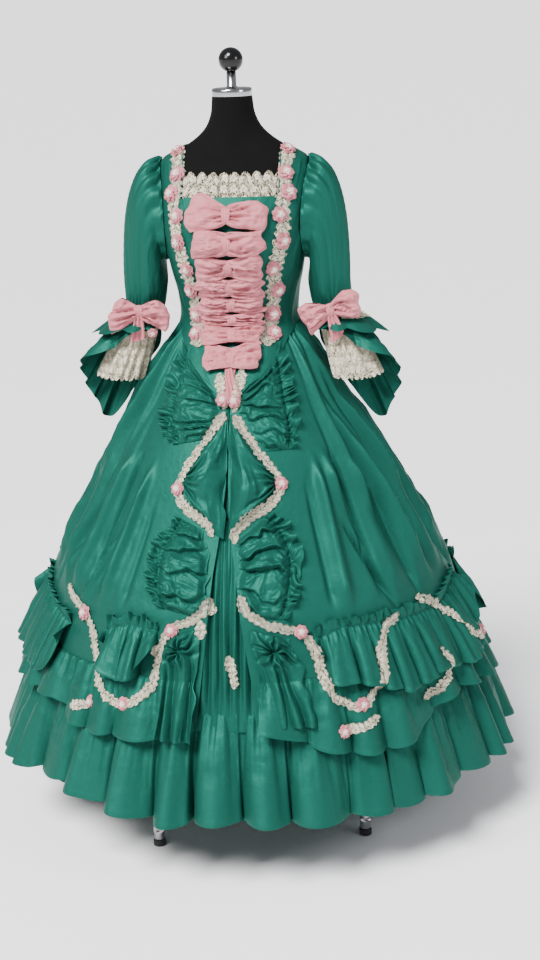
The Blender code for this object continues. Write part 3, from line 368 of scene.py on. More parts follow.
def lacquer_finish():
    """Glossy black lacquer with a slight orange-peel waviness."""
    paint = Paint("black_lacquer", Coat_Weight=0.10, Coat_Roughness=0.08, Specular_IOR_Level=0.30)
    peel = paint.noise(paint.place("object"), 220.0, 2.0)
    return paint.finish(Base_Color=paint.mix(peel, (0.002, 0.002, 0.002), (0.004, 0.004, 0.004)),
                        Roughness=peel * 0.10 + 0.14, Normal=paint.bump(peel, 0.0001, 0.4))


chrome, lacquer = chrome_finish(), lacquer_finish()
cap_profile = [(POST_RADIUS, POST_TOP), (POST_RADIUS, CAP_TOP + 0.004),
               (POST_RADIUS + 0.003, CAP_TOP + 0.001), (POST_RADIUS + 0.006, CAP_TOP),
               (CAP_RADIUS - 0.004, CAP_TOP), (CAP_RADIUS - 0.001, CAP_TOP - 0.001),
               (CAP_RADIUS, CAP_TOP - 0.004), (CAP_RADIUS, CAP_FOOT + 0.001),
               (CAP_RADIUS - 0.0006, CAP_FOOT)]
neck_cap = spun("neck_cap_plate", cap_profile, chrome)
knob_down = np.radians(np.linspace(3.0, 180.0 - KNOB_SEAT, 30))
knob_profile = np.stack([KNOB_RADIUS * np.sin(knob_down),
                         KNOB_MIDDLE + KNOB_RADIUS * np.cos(knob_down)], axis=-1)
knob = spun("knob_lacquer", knob_profile.tolist() + [(POST_RADIUS, POST_TOP + 0.0005)], lacquer)
for thing, node, kind in ((neck_cap, "neck_cap", "chrome"), (knob, "ball_knob", "black_gloss")):
    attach(thing, "root")
    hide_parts(node)


# The stand: a pole up into the form, a hub and four bent legs of chromed steel tube, welded
# into one piece, with a black rubber foot pushed on each leg.
POLE_RADIUS, POLE_TOP = 0.0125, 0.8497
HUB_TOP, HUB_BOTTOM, HUB_RADIUS = 0.172, 0.128, 0.030
LEG_RADIUS, FOOT_RADIUS, FOOT_HEIGHT = 0.0116, 0.0132, 0.014
STAND_TURN = 10.0
LegPoint = namedtuple("LegPoint", "reach height")
LEG = (LegPoint(0.0180, 0.150), LegPoint(0.195, 0.143), LegPoint(0.270, 0.116),
       LegPoint(0.301, 0.082), LegPoint(0.310, 0.046), LegPoint(0.310, 0.0143))


def tube(name, path, radius, finish, columns=20):
    """A round tube along a path: circles across it, closed to a point at both ends."""
    along = np.gradient(path, axis=0)
    along /= np.linalg.norm(along, axis=-1, keepdims=True)
    side = np.cross(along, [0.0, 0.0, 1.0] if abs(along[0, 2]) < 0.9 else [0.0, 1.0, 0.0])
    side /= np.linalg.norm(side, axis=-1, keepdims=True)
    other = np.cross(along, side)
    turn = np.radians(np.arange(columns) * 360.0 / columns)[None, :, None]
    rings = path[:, None] + radius * (side[:, None] * np.cos(turn) - other[:, None] * np.sin(turn))
    ends = [np.broadcast_to(path[k], (1, columns, 3)) for k in (0, -1)]
    return surface(name, np.concatenate([ends[0], rings, ends[1]]), finish, wrap=True)


def rubber_finish():
    """Black moulded rubber, dull, with scuffs that lighten it."""
    paint = Paint("black_rubber", Roughness=0.75)
    scuffs = paint.noise(paint.place("object"), 180.0, 5.0)
    return paint.finish(Base_Color=paint.mix(scuffs, (0.008, 0.008, 0.008), (0.03, 0.03, 0.03)),
                        Normal=paint.bump(scuffs, 0.0003, 0.5))


rubber = rubber_finish()
pole = spun("stand_pole", [(POLE_RADIUS, POLE_TOP), (POLE_RADIUS, HUB_TOP + 0.004),
                           (POLE_RADIUS + 0.004, HUB_TOP), (HUB_RADIUS - 0.004, HUB_TOP - 0.004),
                           (HUB_RADIUS, HUB_TOP - 0.008), (HUB_RADIUS, HUB_BOTTOM + 0.003),
                           (HUB_RADIUS - 0.003, HUB_BOTTOM)], chrome)
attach(pole, "root")
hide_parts("stand")
leg_at = np.linspace(0, len(LEG) - 1, 40)
leg_reach = smooth(leg_at, np.arange(len(LEG)), column(LEG, "reach"))
leg_height = smooth(leg_at, np.arange(len(LEG)), column(LEG, "height"))
for k in range(4):
    bearing = math.radians(45 + 90 * k + STAND_TURN)
    ahead = np.array([math.sin(bearing), -math.cos(bearing)])
    path = np.stack([leg_reach * ahead[0], FORM_AXIS_Y + leg_reach * ahead[1], leg_height], -1)
    leg = tube(f"stand_leg_{k + 1}", path, LEG_RADIUS, chrome)
    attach(leg, "root")
    foot = spun(f"foot_rubber_{k + 1}", [(FOOT_RADIUS - 0.002, FOOT_HEIGHT),
                                         (FOOT_RADIUS, FOOT_HEIGHT - 0.002), (FOOT_RADIUS, 0.001),
                                         (FOOT_RADIUS - 0.001, 0.0)], rubber,
                x=path[-1, 0], y=path[-1, 1], columns=40)
    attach(foot, "root")
    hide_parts(f"foot_{k + 1}")


# The bodice: two fronts and two backs of green taffeta seamed at the sides and the centre
# back, and a stiffened stomacher pinned between the fronts. It ends in a point below the waist.
CLOTH = 0.0020
BODICE_SKIN = BODICE_OUT + CLOTH
SHELL_OUT = BODICE_OUT + 0.0012     # the taffeta that shows, a little inside the solid's face
WAIST, NECKLINE, STRAP_EDGE = 1.090, 1.343, 0.097
ARMHOLE_HEIGHT, ARMHOLE_RISE, ARMHOLE_ANGLE = 1.3125, 0.0985, 25.0
Edge = namedtuple("Edge", "angle height")
BASQUE = (Edge(0, 0.945), Edge(12, 0.980), Edge(25, 1.020), Edge(39, 1.055), Edge(62, 1.080),
          Edge(90, 1.088), Edge(180, 1.088))
Width = namedtuple("Width", "height half_width")
STOMACHER = (Width(0.945, 0.004), Width(0.980, 0.038), Width(1.050, 0.059), Width(1.120, 0.065),
             Width(1.200, 0.073), Width(1.343, 0.090))
BACK_NECKLINE = (Width(1.397, 0.0), Width(1.409, 0.048), Width(1.417, 0.075),
                 Width(1.425, 0.090), Width(1.4325, STRAP_EDGE), Width(1.440, STRAP_EDGE))
SHOULDER_SEAM, SHOULDER_FREE = 1.4372, 1.43     # the panels' top, and where drag lines begin
SIDE_SEAM = 90.0                # the angle at which a front and a back meet
ARMHOLE_GAP = 0.15              # degrees between a panel and the armhole's edge
CHEST_RADIUS, DRAG_LEAN = 0.13, 0.35
SIDES = {"right": -1, "left": 1}


def taffeta_finish():
    """Silk taffeta: a crisp plain weave with slubs across it and a soft green gloss.

    Threads are noise stretched each way across the UV map; slow noise shifts the dye a little.
    Crush and crimp are noise folded about its middle, so that they crease the cloth sharply.
    """
    paint = Paint("green_taffeta", Metallic=0.36, Specular_IOR_Level=0.22,
                  Specular_Tint=(0.14, 0.70, 0.54, 1.0))
    slubs = paint.noise(paint.place("uv", (30.0, 900.0, 1.0)), 1.0, 2.0)
    warp = paint.noise(paint.place("uv", (1500.0, 60.0, 1.0)), 1.0, 1.0)
    dye = paint.noise(paint.place("object"), 5.0, 3.0)
    rumple = paint.noise(paint.place("object", (1.0, 1.0, 0.6)), 38.0, 4.0, 0.6)
    crush = paint.noise(paint.place("object", (1.0, 1.0, 0.55)), 15.0, 3.0, 0.55)
    crush = (crush - 0.5).maths("ABSOLUTE")
    crimp = paint.noise(paint.place("object", (1.0, 1.0, 0.7)), 47.0, 2.0, 0.5)
    crimp = (crimp - 0.5).maths("ABSOLUTE")
    green = paint.mix(slubs, (0.0054, 0.053, 0.038), (0.0084, 0.078, 0.057))
    green = paint.mix(dye * 0.45, green, (0.0070, 0.070, 0.051))
    relief = slubs * 0.35 + warp * 0.25 + rumple * 0.6 - crush * 2.8 - crimp * 1.2
    return paint.finish(Base_Color=green, Roughness=slubs * 0.12 + 0.40,
                        Normal=paint.bump(relief, 0.0016, 0.55))


taffeta = taffeta_finish()
cloth_under_lace = []           # every sheet so far, for laying lace on it


def sew(piece, grid, nodes, wrap=False):
    """Attaches a sheet of cloth to the root, hides the model's parts that it replaces, and keeps it
    for laying lace on.

    The cross products of its faces' diagonals are worked out but not used. The cuff wings' faces
    make only 0.26 of their longest row by their longest column.

    Its area is that of its faces, but never under LEAST_CUT of the cut. The area declared for the
    wings is that least value, not a measure.
    """
    wide = closed(grid, wrap)
    cross = np.cross(wide[1:, 1:] - wide[:-1, :-1], wide[:-1, 1:] - wide[1:, :-1])
    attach(piece, "root")
    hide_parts(*nodes)
    cloth_under_lace.append(piece)


def on_side(points, side):
    """The same grid, or its mirror image with the columns still running the same way round."""
    return points if side > 0 else points[:, ::-1] * np.array([-1.0, 1.0, 1.0])


def angle_at(half_width, height):
    """The angle at which the section at that height is that far from the middle."""
    share = np.clip(half_width / read(FIGURE, height, "half_width"), 0, 1)
    return np.degrees(np.arcsin(share ** (read(FIGURE, height, "squareness") / 2)))


def armhole_edge(height):
    """The armhole's front edge as an angle, along an ellipse; the side seam's beyond it."""
    share = np.clip(1 - ((height - ARMHOLE_HEIGHT) / ARMHOLE_RISE) ** 2, 0, 1)
    return SIDE_SEAM - ARMHOLE_ANGLE * np.sqrt(share)


def front_inner_edge(height):
    """The strap's edge above the neckline and the stomacher's edge below it."""
    beside_stomacher = angle_at(read(STOMACHER, height, "half_width"), height)
    return np.where(height > NECKLINE, angle_at(STRAP_EDGE, height), beside_stomacher)


def back_inner_edge(height):
    """The round back neckline and, below it, the centre back."""
    return angle_at(straight(BACK_NECKLINE, height, "half_width"), height)


def tension(angle, height, seed):
    """Soft drag lines in a fitted bodice: noise in metres that leans from bust to waist."""
    lean = np.radians(angle) * CHEST_RADIUS - DRAG_LEAN * (height - WAIST)
    wide_lines = 0.0011 * cloud(lean * 62, height * 7, seed)
    fine_lines = 0.0005 * cloud(lean * 150, height * 16, seed + 1)
    return wide_lines + fine_lines + 0.0006 * creases(lean * 24, height * 12, seed + 2)


def ramp(x, start, end):
    """Nought at the start and before it, one at the end and past it, straight between."""
    return np.clip((x - start) / (end - start), 0, 1)


def bodice_panel(inner_edge, facing, seed, rows=90, columns=46):
    """A panel between its inner edge and the side seam, from the shoulder to the basque.

    Rows run straight across from edge to edge; facing is 0 for a front and 180 for a back.
    """
    t, s = np.linspace(0, 1, rows)[:, None], np.linspace(0, 1, columns)
    low_inner = inner_edge(np.array(STOMACHER[1].height if facing == 0 else WAIST))
    low_angle = low_inner + (SIDE_SEAM - low_inner) * s
    low = straight(BASQUE, low_angle if facing == 0 else facing - low_angle, "height", key="angle")
    height = SHOULDER_SEAM + (low - SHOULDER_SEAM) * t
    inner, outer = inner_edge(height), armhole_edge(height) - ARMHOLE_GAP
    angle = inner + (outer - inner) * s
    shown = angle if facing == 0 else facing - angle
    worn = ramp(height, SHOULDER_FREE, SHOULDER_FREE - 0.03)
    return figure(shown, height, SHELL_OUT + worn * tension(shown, height, seed))


for name, side in SIDES.items():
    front = on_side(bodice_panel(front_inner_edge, 0, 20 + side), side)
    back = on_side(bodice_panel(back_inner_edge, 180, 30 + side)[:, ::-1], side)
    for part, grid in (("front", front), ("back", back)):
        panel = surface(f"bodice_{part}_{name}_panel", grid, taffeta)
        sew(panel, grid, [f"bodice_{part}_{name}"])

stomacher_heights = np.linspace(NECKLINE + 0.0012, STOMACHER[0].height, 120)[:, None]
stomacher_edges = angle_at(read(STOMACHER, stomacher_heights, "half_width"), stomacher_heights)
stomacher_angles = stomacher_edges * np.linspace(-1, 1, 50)
stomacher_grid = figure(stomacher_angles, stomacher_heights, SHELL_OUT
                        + 0.6 * tension(stomacher_angles, stomacher_heights, 41))
stomacher = surface("stomacher_panel", stomacher_grid, taffeta)
sew(stomacher, stomacher_grid, ["stomacher"])


# The petticoat: a cone of the same taffeta on a waistband, which carries the bottom ruffle.
# A narrow strip of it shows between the overskirt's open fronts, gathered into deep folds.
Layers = namedtuple("Layers", "height petticoat overskirt")
LAYERS = (
    Layers(0.165, -0.042, -0.020),
    Layers(0.300, -0.040, -0.020),
    Layers(0.380, -0.038, -0.020),
    Layers(0.450, -0.034, -0.0185),
    Layers(0.500, -0.030, -0.0150),
    Layers(0.530, -0.028, -0.0100),
    Layers(0.560, -0.026, -0.0045),
    Layers(0.600, -0.024, 0.0000),
    Layers(0.700, -0.018, 0.0000),
    Layers(0.850, -0.013, 0.0000),
    Layers(0.930, -0.011, -0.0012),
    Layers(1.060, -0.0044, -0.0012),
    Layers(1.110, -0.0044, -0.0012),
)
PETTICOAT_TOP, PETTICOAT_HEM = 1.060, 0.168
PETTICOAT_FOLDS, PETTICOAT_FOLD_DEPTH, PETTICOAT_FACE = 45, 0.002, 0.001
STRIP_TOP, STRIP_FOOT, STRIP_PLEAT = 0.735, 0.345, 2.6      # the pleat's width is in degrees


def folds(phase, crest=0.7):
    """Rounded folds from -1 to 1: a cosine whose crests are widened by a power."""
    return 2 * (0.5 + 0.5 * np.cos(phase)) ** crest - 1


around = np.arange(0, 360, 1.5)
petticoat_heights = np.linspace(PETTICOAT_TOP, PETTICOAT_HEM, 40)[:, None]
petticoat_folds = PETTICOAT_FOLD_DEPTH * (1 - np.cos(np.radians(around) * PETTICOAT_FOLDS))
petticoat_grid = figure(around, petticoat_heights, straight(LAYERS, petticoat_heights, "petticoat")
                        + PETTICOAT_FACE - petticoat_folds)
petticoat = surface("petticoat_cone", petticoat_grid, taffeta, wrap=True)
sew(petticoat, petticoat_grid, ["petticoat"], wrap=True)

strip_angles = np.linspace(-8.5, 10.5, 170)
strip_heights = np.linspace(STRIP_TOP, STRIP_FOOT, 64)[:, None]
strip_between = (straight(LAYERS, strip_heights, "petticoat")
                 + straight(LAYERS, strip_heights, "overskirt")) / 2
strip_wander = 0.5 * cloud(strip_angles * 0.4, strip_heights * 3, 5)
strip_pleats = folds(2 * np.pi * (strip_angles + strip_wander) / STRIP_PLEAT)
strip_fall = np.maximum(ramp(strip_heights, 0.72, 0.52), 0.25) * ramp(strip_heights, 0.35, 0.44)
strip_rumple = 0.0012 * cloud(strip_angles * 1.6, strip_heights * 22, 6)
strip_grid = figure(strip_angles, strip_heights,
                    strip_between + 0.0055 * strip_fall * strip_pleats + strip_rumple)
strip = surface("petticoat_front_folds", strip_grid, taffeta)
sew(strip, strip_grid, ["petticoat_front"])


# The overskirt: two fronts that part below the bodice's point and a wide back, all gathered
# into the waist seam. It hangs in long soft folds that open towards its hem.
OVERSKIRT_TOP_UNDER, OVERSKIRT_FOOT = 0.006, 0.362
OVERSKIRT_FACE = 0.0012         # from the wall's inner side to the taffeta that shows
FOLD_STEP, FOLD_DEPTH = 13.0, 0.0110
SEAM_LAP = 0.1                  # degrees by which the fronts and the back overlap at the side
GATHER_STEP, GATHER_DEPTH = 6.5, 0.0028
Opening = namedtuple("Opening", "height right left")
OPENING = (Opening(0.340, 6.5, 8.5), Opening(0.450, 5.4, 6.6), Opening(0.550, 4.3, 4.6),
           Opening(0.640, 3.4, 3.2), Opening(0.720, 1.8, 1.2), Opening(0.800, 0.4, 0.4),
           Opening(0.960, 0.3, 0.3))
# Long creases: they run from one point to the other, with a half-width and a rise in metres
Crease = namedtuple("Crease", "top_angle top_height low_angle low_height width rise")
LONG_CREASES = (
    Crease(-50, 1.060, -60, 0.700, 0.010, 0.01485), Crease(-58, 1.070, -76, 0.640, 0.013, 0.01890),
    Crease(-47, 0.960, -52, 0.560, 0.014, 0.01620), Crease(-55, 0.830, -66, 0.560, 0.009, -0.01620),
    Crease(-34, 0.820, -38, 0.560, 0.013, 0.01620), Crease(-28, 0.760, -30, 0.560, 0.009, -0.01215),
    Crease(-43, 0.900, -45, 0.600, 0.007, -0.01350), Crease(-70, 1.060, -88, 0.760, 0.012, 0.01620),
    Crease(-80, 1.000, -84, 0.620, 0.010, -0.01620), Crease(-38, 0.690, -47, 0.540, 0.008, 0.01350),
    Crease(44, 1.060, 43, 0.760, 0.010, 0.01620), Crease(52, 1.070, 56, 0.740, 0.012, 0.01755),
    Crease(48, 0.930, 46, 0.600, 0.008, -0.02160), Crease(58, 0.960, 68, 0.600, 0.012, 0.01755),
    Crease(38, 0.860, 34, 0.560, 0.014, 0.01620), Crease(31, 0.780, 30, 0.560, 0.008, -0.01215),
    Crease(42, 0.700, 50, 0.540, 0.008, -0.02295), Crease(66, 1.060, 82, 0.720, 0.012, 0.01620),
    Crease(62, 0.780, 60, 0.560, 0.009, -0.01620), Crease(76, 0.900, 88, 0.560, 0.010, -0.01350),
)


def long_crease(row, angle, height):
    """One ridge or trough: a bell across a straight path, wider below and faded at both ends."""
    down = (row.top_height - height) / (row.top_height - row.low_height)
    middle = row.top_angle + (row.low_angle - row.top_angle) * down
    across = np.radians(angle - middle) * straight(FIGURE, height, "half_width")
    width = row.width * (0.6 + 0.5 * np.clip(down, 0, 1))
    ends = np.clip((down + 0.08) / 0.3, 0, 1) * np.clip((1.12 - down) / 0.25, 0, 1)
    return row.rise * ends * np.exp(-(across / width) ** 2)


def front_angle(angle):
    """The same angle counted from the front, between -180 and 180."""
    return (angle + 180) % 360 - 180


def overskirt_out(angle, height):
    """The overskirt: plain under the trimmings, folded at the sides and back, with long creases.

    Folds are a cosine of the angle and waist gathers a widened, wandering one. Each fades by
    straight ramps of the height and of the angle from the front.
    """
    angle, height = np.broadcast_arrays(np.asarray(angle, float), height)
    signed = front_angle(angle)
    from_front = np.abs(signed)
    to_sides = ramp(from_front, 46, 60)
    hanging = ramp(height, 1.06, 0.81) * ramp(height, 0.57, 0.65)
    out = straight(LAYERS, height, "overskirt") + OVERSKIRT_FACE
    out = out + FOLD_DEPTH * to_sides * hanging * np.cos(2 * np.pi * angle / FOLD_STEP)
    untrimmed = ramp(from_front, 24, 34) * ramp(height, 0.53, 0.59) * ramp(height, 1.085, 1.035)
    below_ruching = ramp(height, 0.85, 0.80) * ramp(from_front, 25, 29)
    loose = untrimmed * np.maximum(to_sides, below_ruching)
    for row in LONG_CREASES:
        out = out + loose * long_crease(row, signed, height)
    arc = np.radians(signed) * straight(FIGURE, height, "half_width")
    out = out + loose * 0.0044 * creases(arc * 9, height * 3.2, 51)
    gathers = ramp(height, 0.93, 1.05) * ramp(from_front, 42, 50)
    gathers = gathers * np.maximum(ramp(height, 1.098, 1.078), 0.2)
    wander = 1.6 * cloud(angle * 0.12, height * 5, 52)
    return out + GATHER_DEPTH * gathers * folds(2 * np.pi * (angle + wander) / GATHER_STEP)


def panel_heights(first, last, columns, rows=120):
    """Steps across a panel between two angles, and its heights from the waist seam to its foot."""
    s, t = np.linspace(0, 1, columns), np.linspace(0, 1, rows)[:, None]
    angle = first + (last - first) * s
    top = straight(BASQUE, np.abs(front_angle(angle)), "height", key="angle") + OVERSKIRT_TOP_UNDER
    return s, top + (OVERSKIRT_FOOT - top) * t


def overskirt_panel(name, node, angle, height):
    """Makes one panel of the overskirt, attaches it and hides its node."""
    grid = figure(angle, height, overskirt_out(angle, height))
    panel = surface(name, grid, taffeta)
    sew(panel, grid, [node])


for name, side in SIDES.items():
    s, height = panel_heights(0.0, SIDE_SEAM, 140)
    inner = straight(OPENING, height, name)
    angle = side * (inner + (SIDE_SEAM + SEAM_LAP - inner) * s)
    if side < 0:
        angle, height = angle[:, ::-1], height[:, ::-1]
    overskirt_panel(f"overskirt_{name}_front", f"overskirt_{name}", angle, height)
s, height = panel_heights(SIDE_SEAM, 360 - SIDE_SEAM, 210)
angle = SIDE_SEAM - SEAM_LAP + (360 - 2 * (SIDE_SEAM - SEAM_LAP)) * s
overskirt_panel("overskirt_back_panel", "overskirt_back", angle, height)


# The ruffles: straight strips of taffeta gathered on their upper edge, narrow-hemmed below.
# One goes round the petticoat near the floor, one round the overskirt's hem.
Hem = namedtuple("Hem", "angle height")
BOTTOM_HEM = (Hem(0, 0.172), Hem(15, 0.162), Hem(30, 0.158), Hem(45, 0.160), Hem(62, 0.168),
              Hem(90, 0.164), Hem(120, 0.158), Hem(150, 0.164), Hem(180, 0.158), Hem(210, 0.164),
              Hem(240, 0.158), Hem(270, 0.168), Hem(300, 0.172), Hem(317, 0.190), Hem(335, 0.170),
              Hem(347, 0.158), Hem(360, 0.172))
MIDDLE_HEM = (Hem(10, 0.345), Hem(20, 0.311), Hem(29, 0.285), Hem(40, 0.278), Hem(50, 0.310),
              Hem(60, 0.345), Hem(75, 0.330), Hem(92, 0.300), Hem(112, 0.285), Hem(132, 0.330),
              Hem(156, 0.300), Hem(180, 0.285), Hem(204, 0.300), Hem(228, 0.330), Hem(248, 0.285),
              Hem(268, 0.300), Hem(290, 0.335), Hem(312, 0.350), Hem(324, 0.312), Hem(337, 0.316),
              Hem(352, 0.330))
HEM_TURN = 0.0007               # how far the narrow hem's double cloth stands out
FLUTE_BULGE = 0.55              # how far a flute bulges to each side, for its swing
BOTTOM_TOP, BOTTOM_WAVES, BOTTOM_SWING, BOTTOM_GATHERS = 0.384, 35, 0.0280, 0.0055
MIDDLE_TOP, MIDDLE_WAVES, MIDDLE_SWING, MIDDLE_GATHERS = 0.442, 30, 0.0200, 0.0042
BOTTOM_COLUMNS, MIDDLE_COLUMNS = 22, 20         # columns of the grid to each flute


def aside(phase, swing, height):
    """Degrees by which flutes bulge to their sides, a sine of their phase: the troughs narrow."""
    bulge = FLUTE_BULGE * swing * np.sin(phase)
    return np.degrees(bulge / straight(FIGURE, height, "half_width"))


def hanging_ruffle(name, angles, top, hem, out_top, out_hem, swing, waves, gather_depth, seed,
                   wrap=False, rows=34):
    """A gathered strip: tight gathers at the top open into wide flutes at the hem.

    Flutes are widened cosines whose phase wanders; each has its own height and bulges aside.
    The gathers are cosines, three and seven to each flute, that fade on the way down.
    """
    t = np.linspace(0, 1, rows)[:, None]
    height = top + (hem - top) * t
    share = np.arange(len(angles)) / len(angles) if wrap else np.linspace(0, 1, len(angles))
    turn = 2 * np.pi * share
    wander = cloud(3.1 * np.cos(turn) + 20, 3.1 * np.sin(turn) + 20, seed)
    wander2 = cloud(7.3 * np.cos(turn) + 40, 7.3 * np.sin(turn) + 40, seed + 1)
    phase = waves * turn + 3.6 * wander + 1.2 * wander2 + 0.25 * np.sin(2.5 * t + 9 * wander)
    size = 0.78 + 0.55 * wander2
    flutes = (folds(phase, 0.55) + 0.24 * folds(2 * phase + 2.0 * wander2, 0.8)) * size
    gathers = np.cos(3 * waves * turn + 3 * wander2) + 0.6 * np.cos(7 * waves * turn + 5 * wander)
    open_out = t ** 0.75
    crushed = np.sin(np.pi * np.minimum(t * 1.3, 1)) * creases(3 * share * waves, 27 * height, seed + 3)
    out = out_top + (out_hem - out_top) * t ** 0.8 + swing * open_out * flutes
    out = out + gather_depth * (1 - t) ** 1.3 * np.minimum(t * 30, 1) * gathers + 0.00216 * crushed
    out = out + HEM_TURN * ((t > 0.955) & (t < 0.985))
    height = height - 0.20 * swing * t ** 3 * folds(phase, 1.0)
    grid = figure(angles + aside(phase, swing * open_out, height), height, out)
    return surface(name, grid, taffeta, wrap), grid


around = np.arange(0, 360, 360 / (BOTTOM_WAVES * BOTTOM_COLUMNS))
bottom_hem = straight(BOTTOM_HEM, around, "height", key="angle") + 0.004
bottom_ruffle, grid = hanging_ruffle(
    "bottom_ruffle_strip", around, BOTTOM_TOP, bottom_hem,
    straight(LAYERS, BOTTOM_TOP, "petticoat") + 0.0034, -0.012, BOTTOM_SWING, BOTTOM_WAVES,
    BOTTOM_GATHERS, 61, wrap=True)
sew(bottom_ruffle, grid, ["bottom_ruffle"], wrap=True)

angles = np.linspace(9.0, 352.0, MIDDLE_WAVES * MIDDLE_COLUMNS)
middle_hem = straight(MIDDLE_HEM, angles, "height", key="angle") + 0.003
middle_ruffle, grid = hanging_ruffle(
    "middle_ruffle_strip", angles, MIDDLE_TOP, middle_hem,
    straight(LAYERS, MIDDLE_TOP, "overskirt") + 0.0030, -0.0030, MIDDLE_SWING, MIDDLE_WAVES,
    MIDDLE_GATHERS, 71)
sew(middle_ruffle, grid, ["middle_ruffle"])


# The festoons: gathered ruffles sewn along a shirred line on the overskirt, with a short frill
# standing above the line. Two are on the wearer's right, one on the left and one at the back.
Festoon = namedtuple("Festoon", "name start end waves gather hem rise")
FESTOONS = (
    Festoon("festoon_right_front", -35.0, -17.5, 4, (Hem(-35, 0.514), Hem(-27, 0.533), Hem(-17, 0.530)),
            (Hem(-35, 0.440), Hem(-27, 0.425), Hem(-17, 0.450)), 0.020),
    Festoon("festoon_right_side", -84.0, -49.0, 7, (Hem(-84, 0.545), Hem(-66, 0.525), Hem(-49, 0.500)),
            (Hem(-84, 0.410), Hem(-66, 0.395), Hem(-49, 0.385)), 0.018),
    Festoon("festoon_left", 22.5, 84.0, 11,
            (Hem(22, 0.512), Hem(32, 0.530), Hem(52, 0.518), Hem(69, 0.515), Hem(84, 0.545)),
            (Hem(22, 0.425), Hem(32, 0.425), Hem(45, 0.385), Hem(57, 0.400), Hem(69, 0.385),
             Hem(84, 0.400)), 0.020),
    Festoon("festoon_back", 95.0, 265.0, 27,
            (Hem(95, 0.540), Hem(137, 0.515), Hem(180, 0.545), Hem(223, 0.515), Hem(265, 0.540)),
            (Hem(95, 0.400), Hem(137, 0.395), Hem(180, 0.410), Hem(223, 0.395), Hem(265, 0.400)),
            0.018),
)
FESTOON_FRILL, FESTOON_SWING, FESTOON_GATHERS = 0.0065, 0.0170, 0.0034
FESTOON_COLUMNS, FRILL_ROWS, FALL_ROWS = 20, 12, 46


def festoon_grid(row, seed):
    """A frill of small pleats above the gathered line and deep soft flutes below it.

    Both follow one wandering phase: the frill as two cosines, two and three to a flute, and the
    flutes as widened cosines of their own heights that bulge aside.
    """
    share = np.linspace(0, 1, row.waves * FESTOON_COLUMNS + 1)
    angle = row.start + (row.end - row.start) * share
    gather = straight(row.gather, angle, "height", key="angle")
    hem = straight(row.hem, angle, "height", key="angle")
    base = straight(LAYERS, gather, "overskirt") + CLOTH + 0.0008
    above = straight(LAYERS, gather + row.rise, "overskirt") + CLOTH + 0.0055
    above = np.maximum(above, base + 0.002)
    hem_out = 0.13 * np.maximum(0.425 - hem, 0) + 0.0060
    from_end = np.minimum(angle - row.start, row.end - angle)
    hem = hem + (gather - hem) * 0.75 * np.exp(-(from_end / 2.6) ** 2)
    along = share * row.waves
    phase = 2 * np.pi * along + 3.0 * cloud(along * 0.45, 0 * share, seed)
    size = 0.85 + 0.55 * cloud(along * 0.7, 0 * share, seed + 1)
    up = np.linspace(1, 0, FRILL_ROWS)[:, None]
    small = np.cos(2 * phase + 0.9 * up) + 0.55 * np.cos(3 * phase + 2 + 2 * size)
    frill_height = gather + row.rise * up * (0.95 + 0.38 * cloud(along * 1.7, 0 * share, seed + 2))
    frill_out = base + (above - base) * up ** 0.7 + FESTOON_FRILL * up ** 0.8 * small
    down = np.linspace(0, 1, FALL_ROWS)[1:, None]
    fold = (folds(phase + 0.5 * down * cloud(share * 9, down * 2, seed + 3), 0.70)
            + 0.30 * folds(2 * phase + 3 * size, 0.7)) * size
    gathers = np.cos(3 * phase) + 0.6 * np.cos(7 * phase)
    gathers = gathers * np.exp(-down * 7) * np.minimum(down * 20, 1)
    crushed = np.sin(np.pi * down) * creases(along * 3, down * 2.5, seed + 4)
    fall_out = base + (hem_out - base) * down ** 0.8 + FESTOON_SWING * down ** 0.8 * fold
    fall_out = fall_out + FESTOON_GATHERS * gathers + 0.0012 * crushed
    fall_out = fall_out + HEM_TURN * ((down > 0.95) & (down < 0.985))
    fall_height = gather + (hem - gather) * down - 0.003 * down ** 3 * fold
    height = np.concatenate([frill_height, fall_height])
    swing = FESTOON_SWING * np.concatenate([0 * up, down ** 0.8])
    return figure(angle + aside(phase, swing, height), height, np.concatenate([frill_out, fall_out]))


for k, row in enumerate(FESTOONS):
    grid = festoon_grid(row, 80 + 6 * k)
    piece = surface(f"{row.name}_strip", grid, taffeta)
    sew(piece, grid, [row.name])


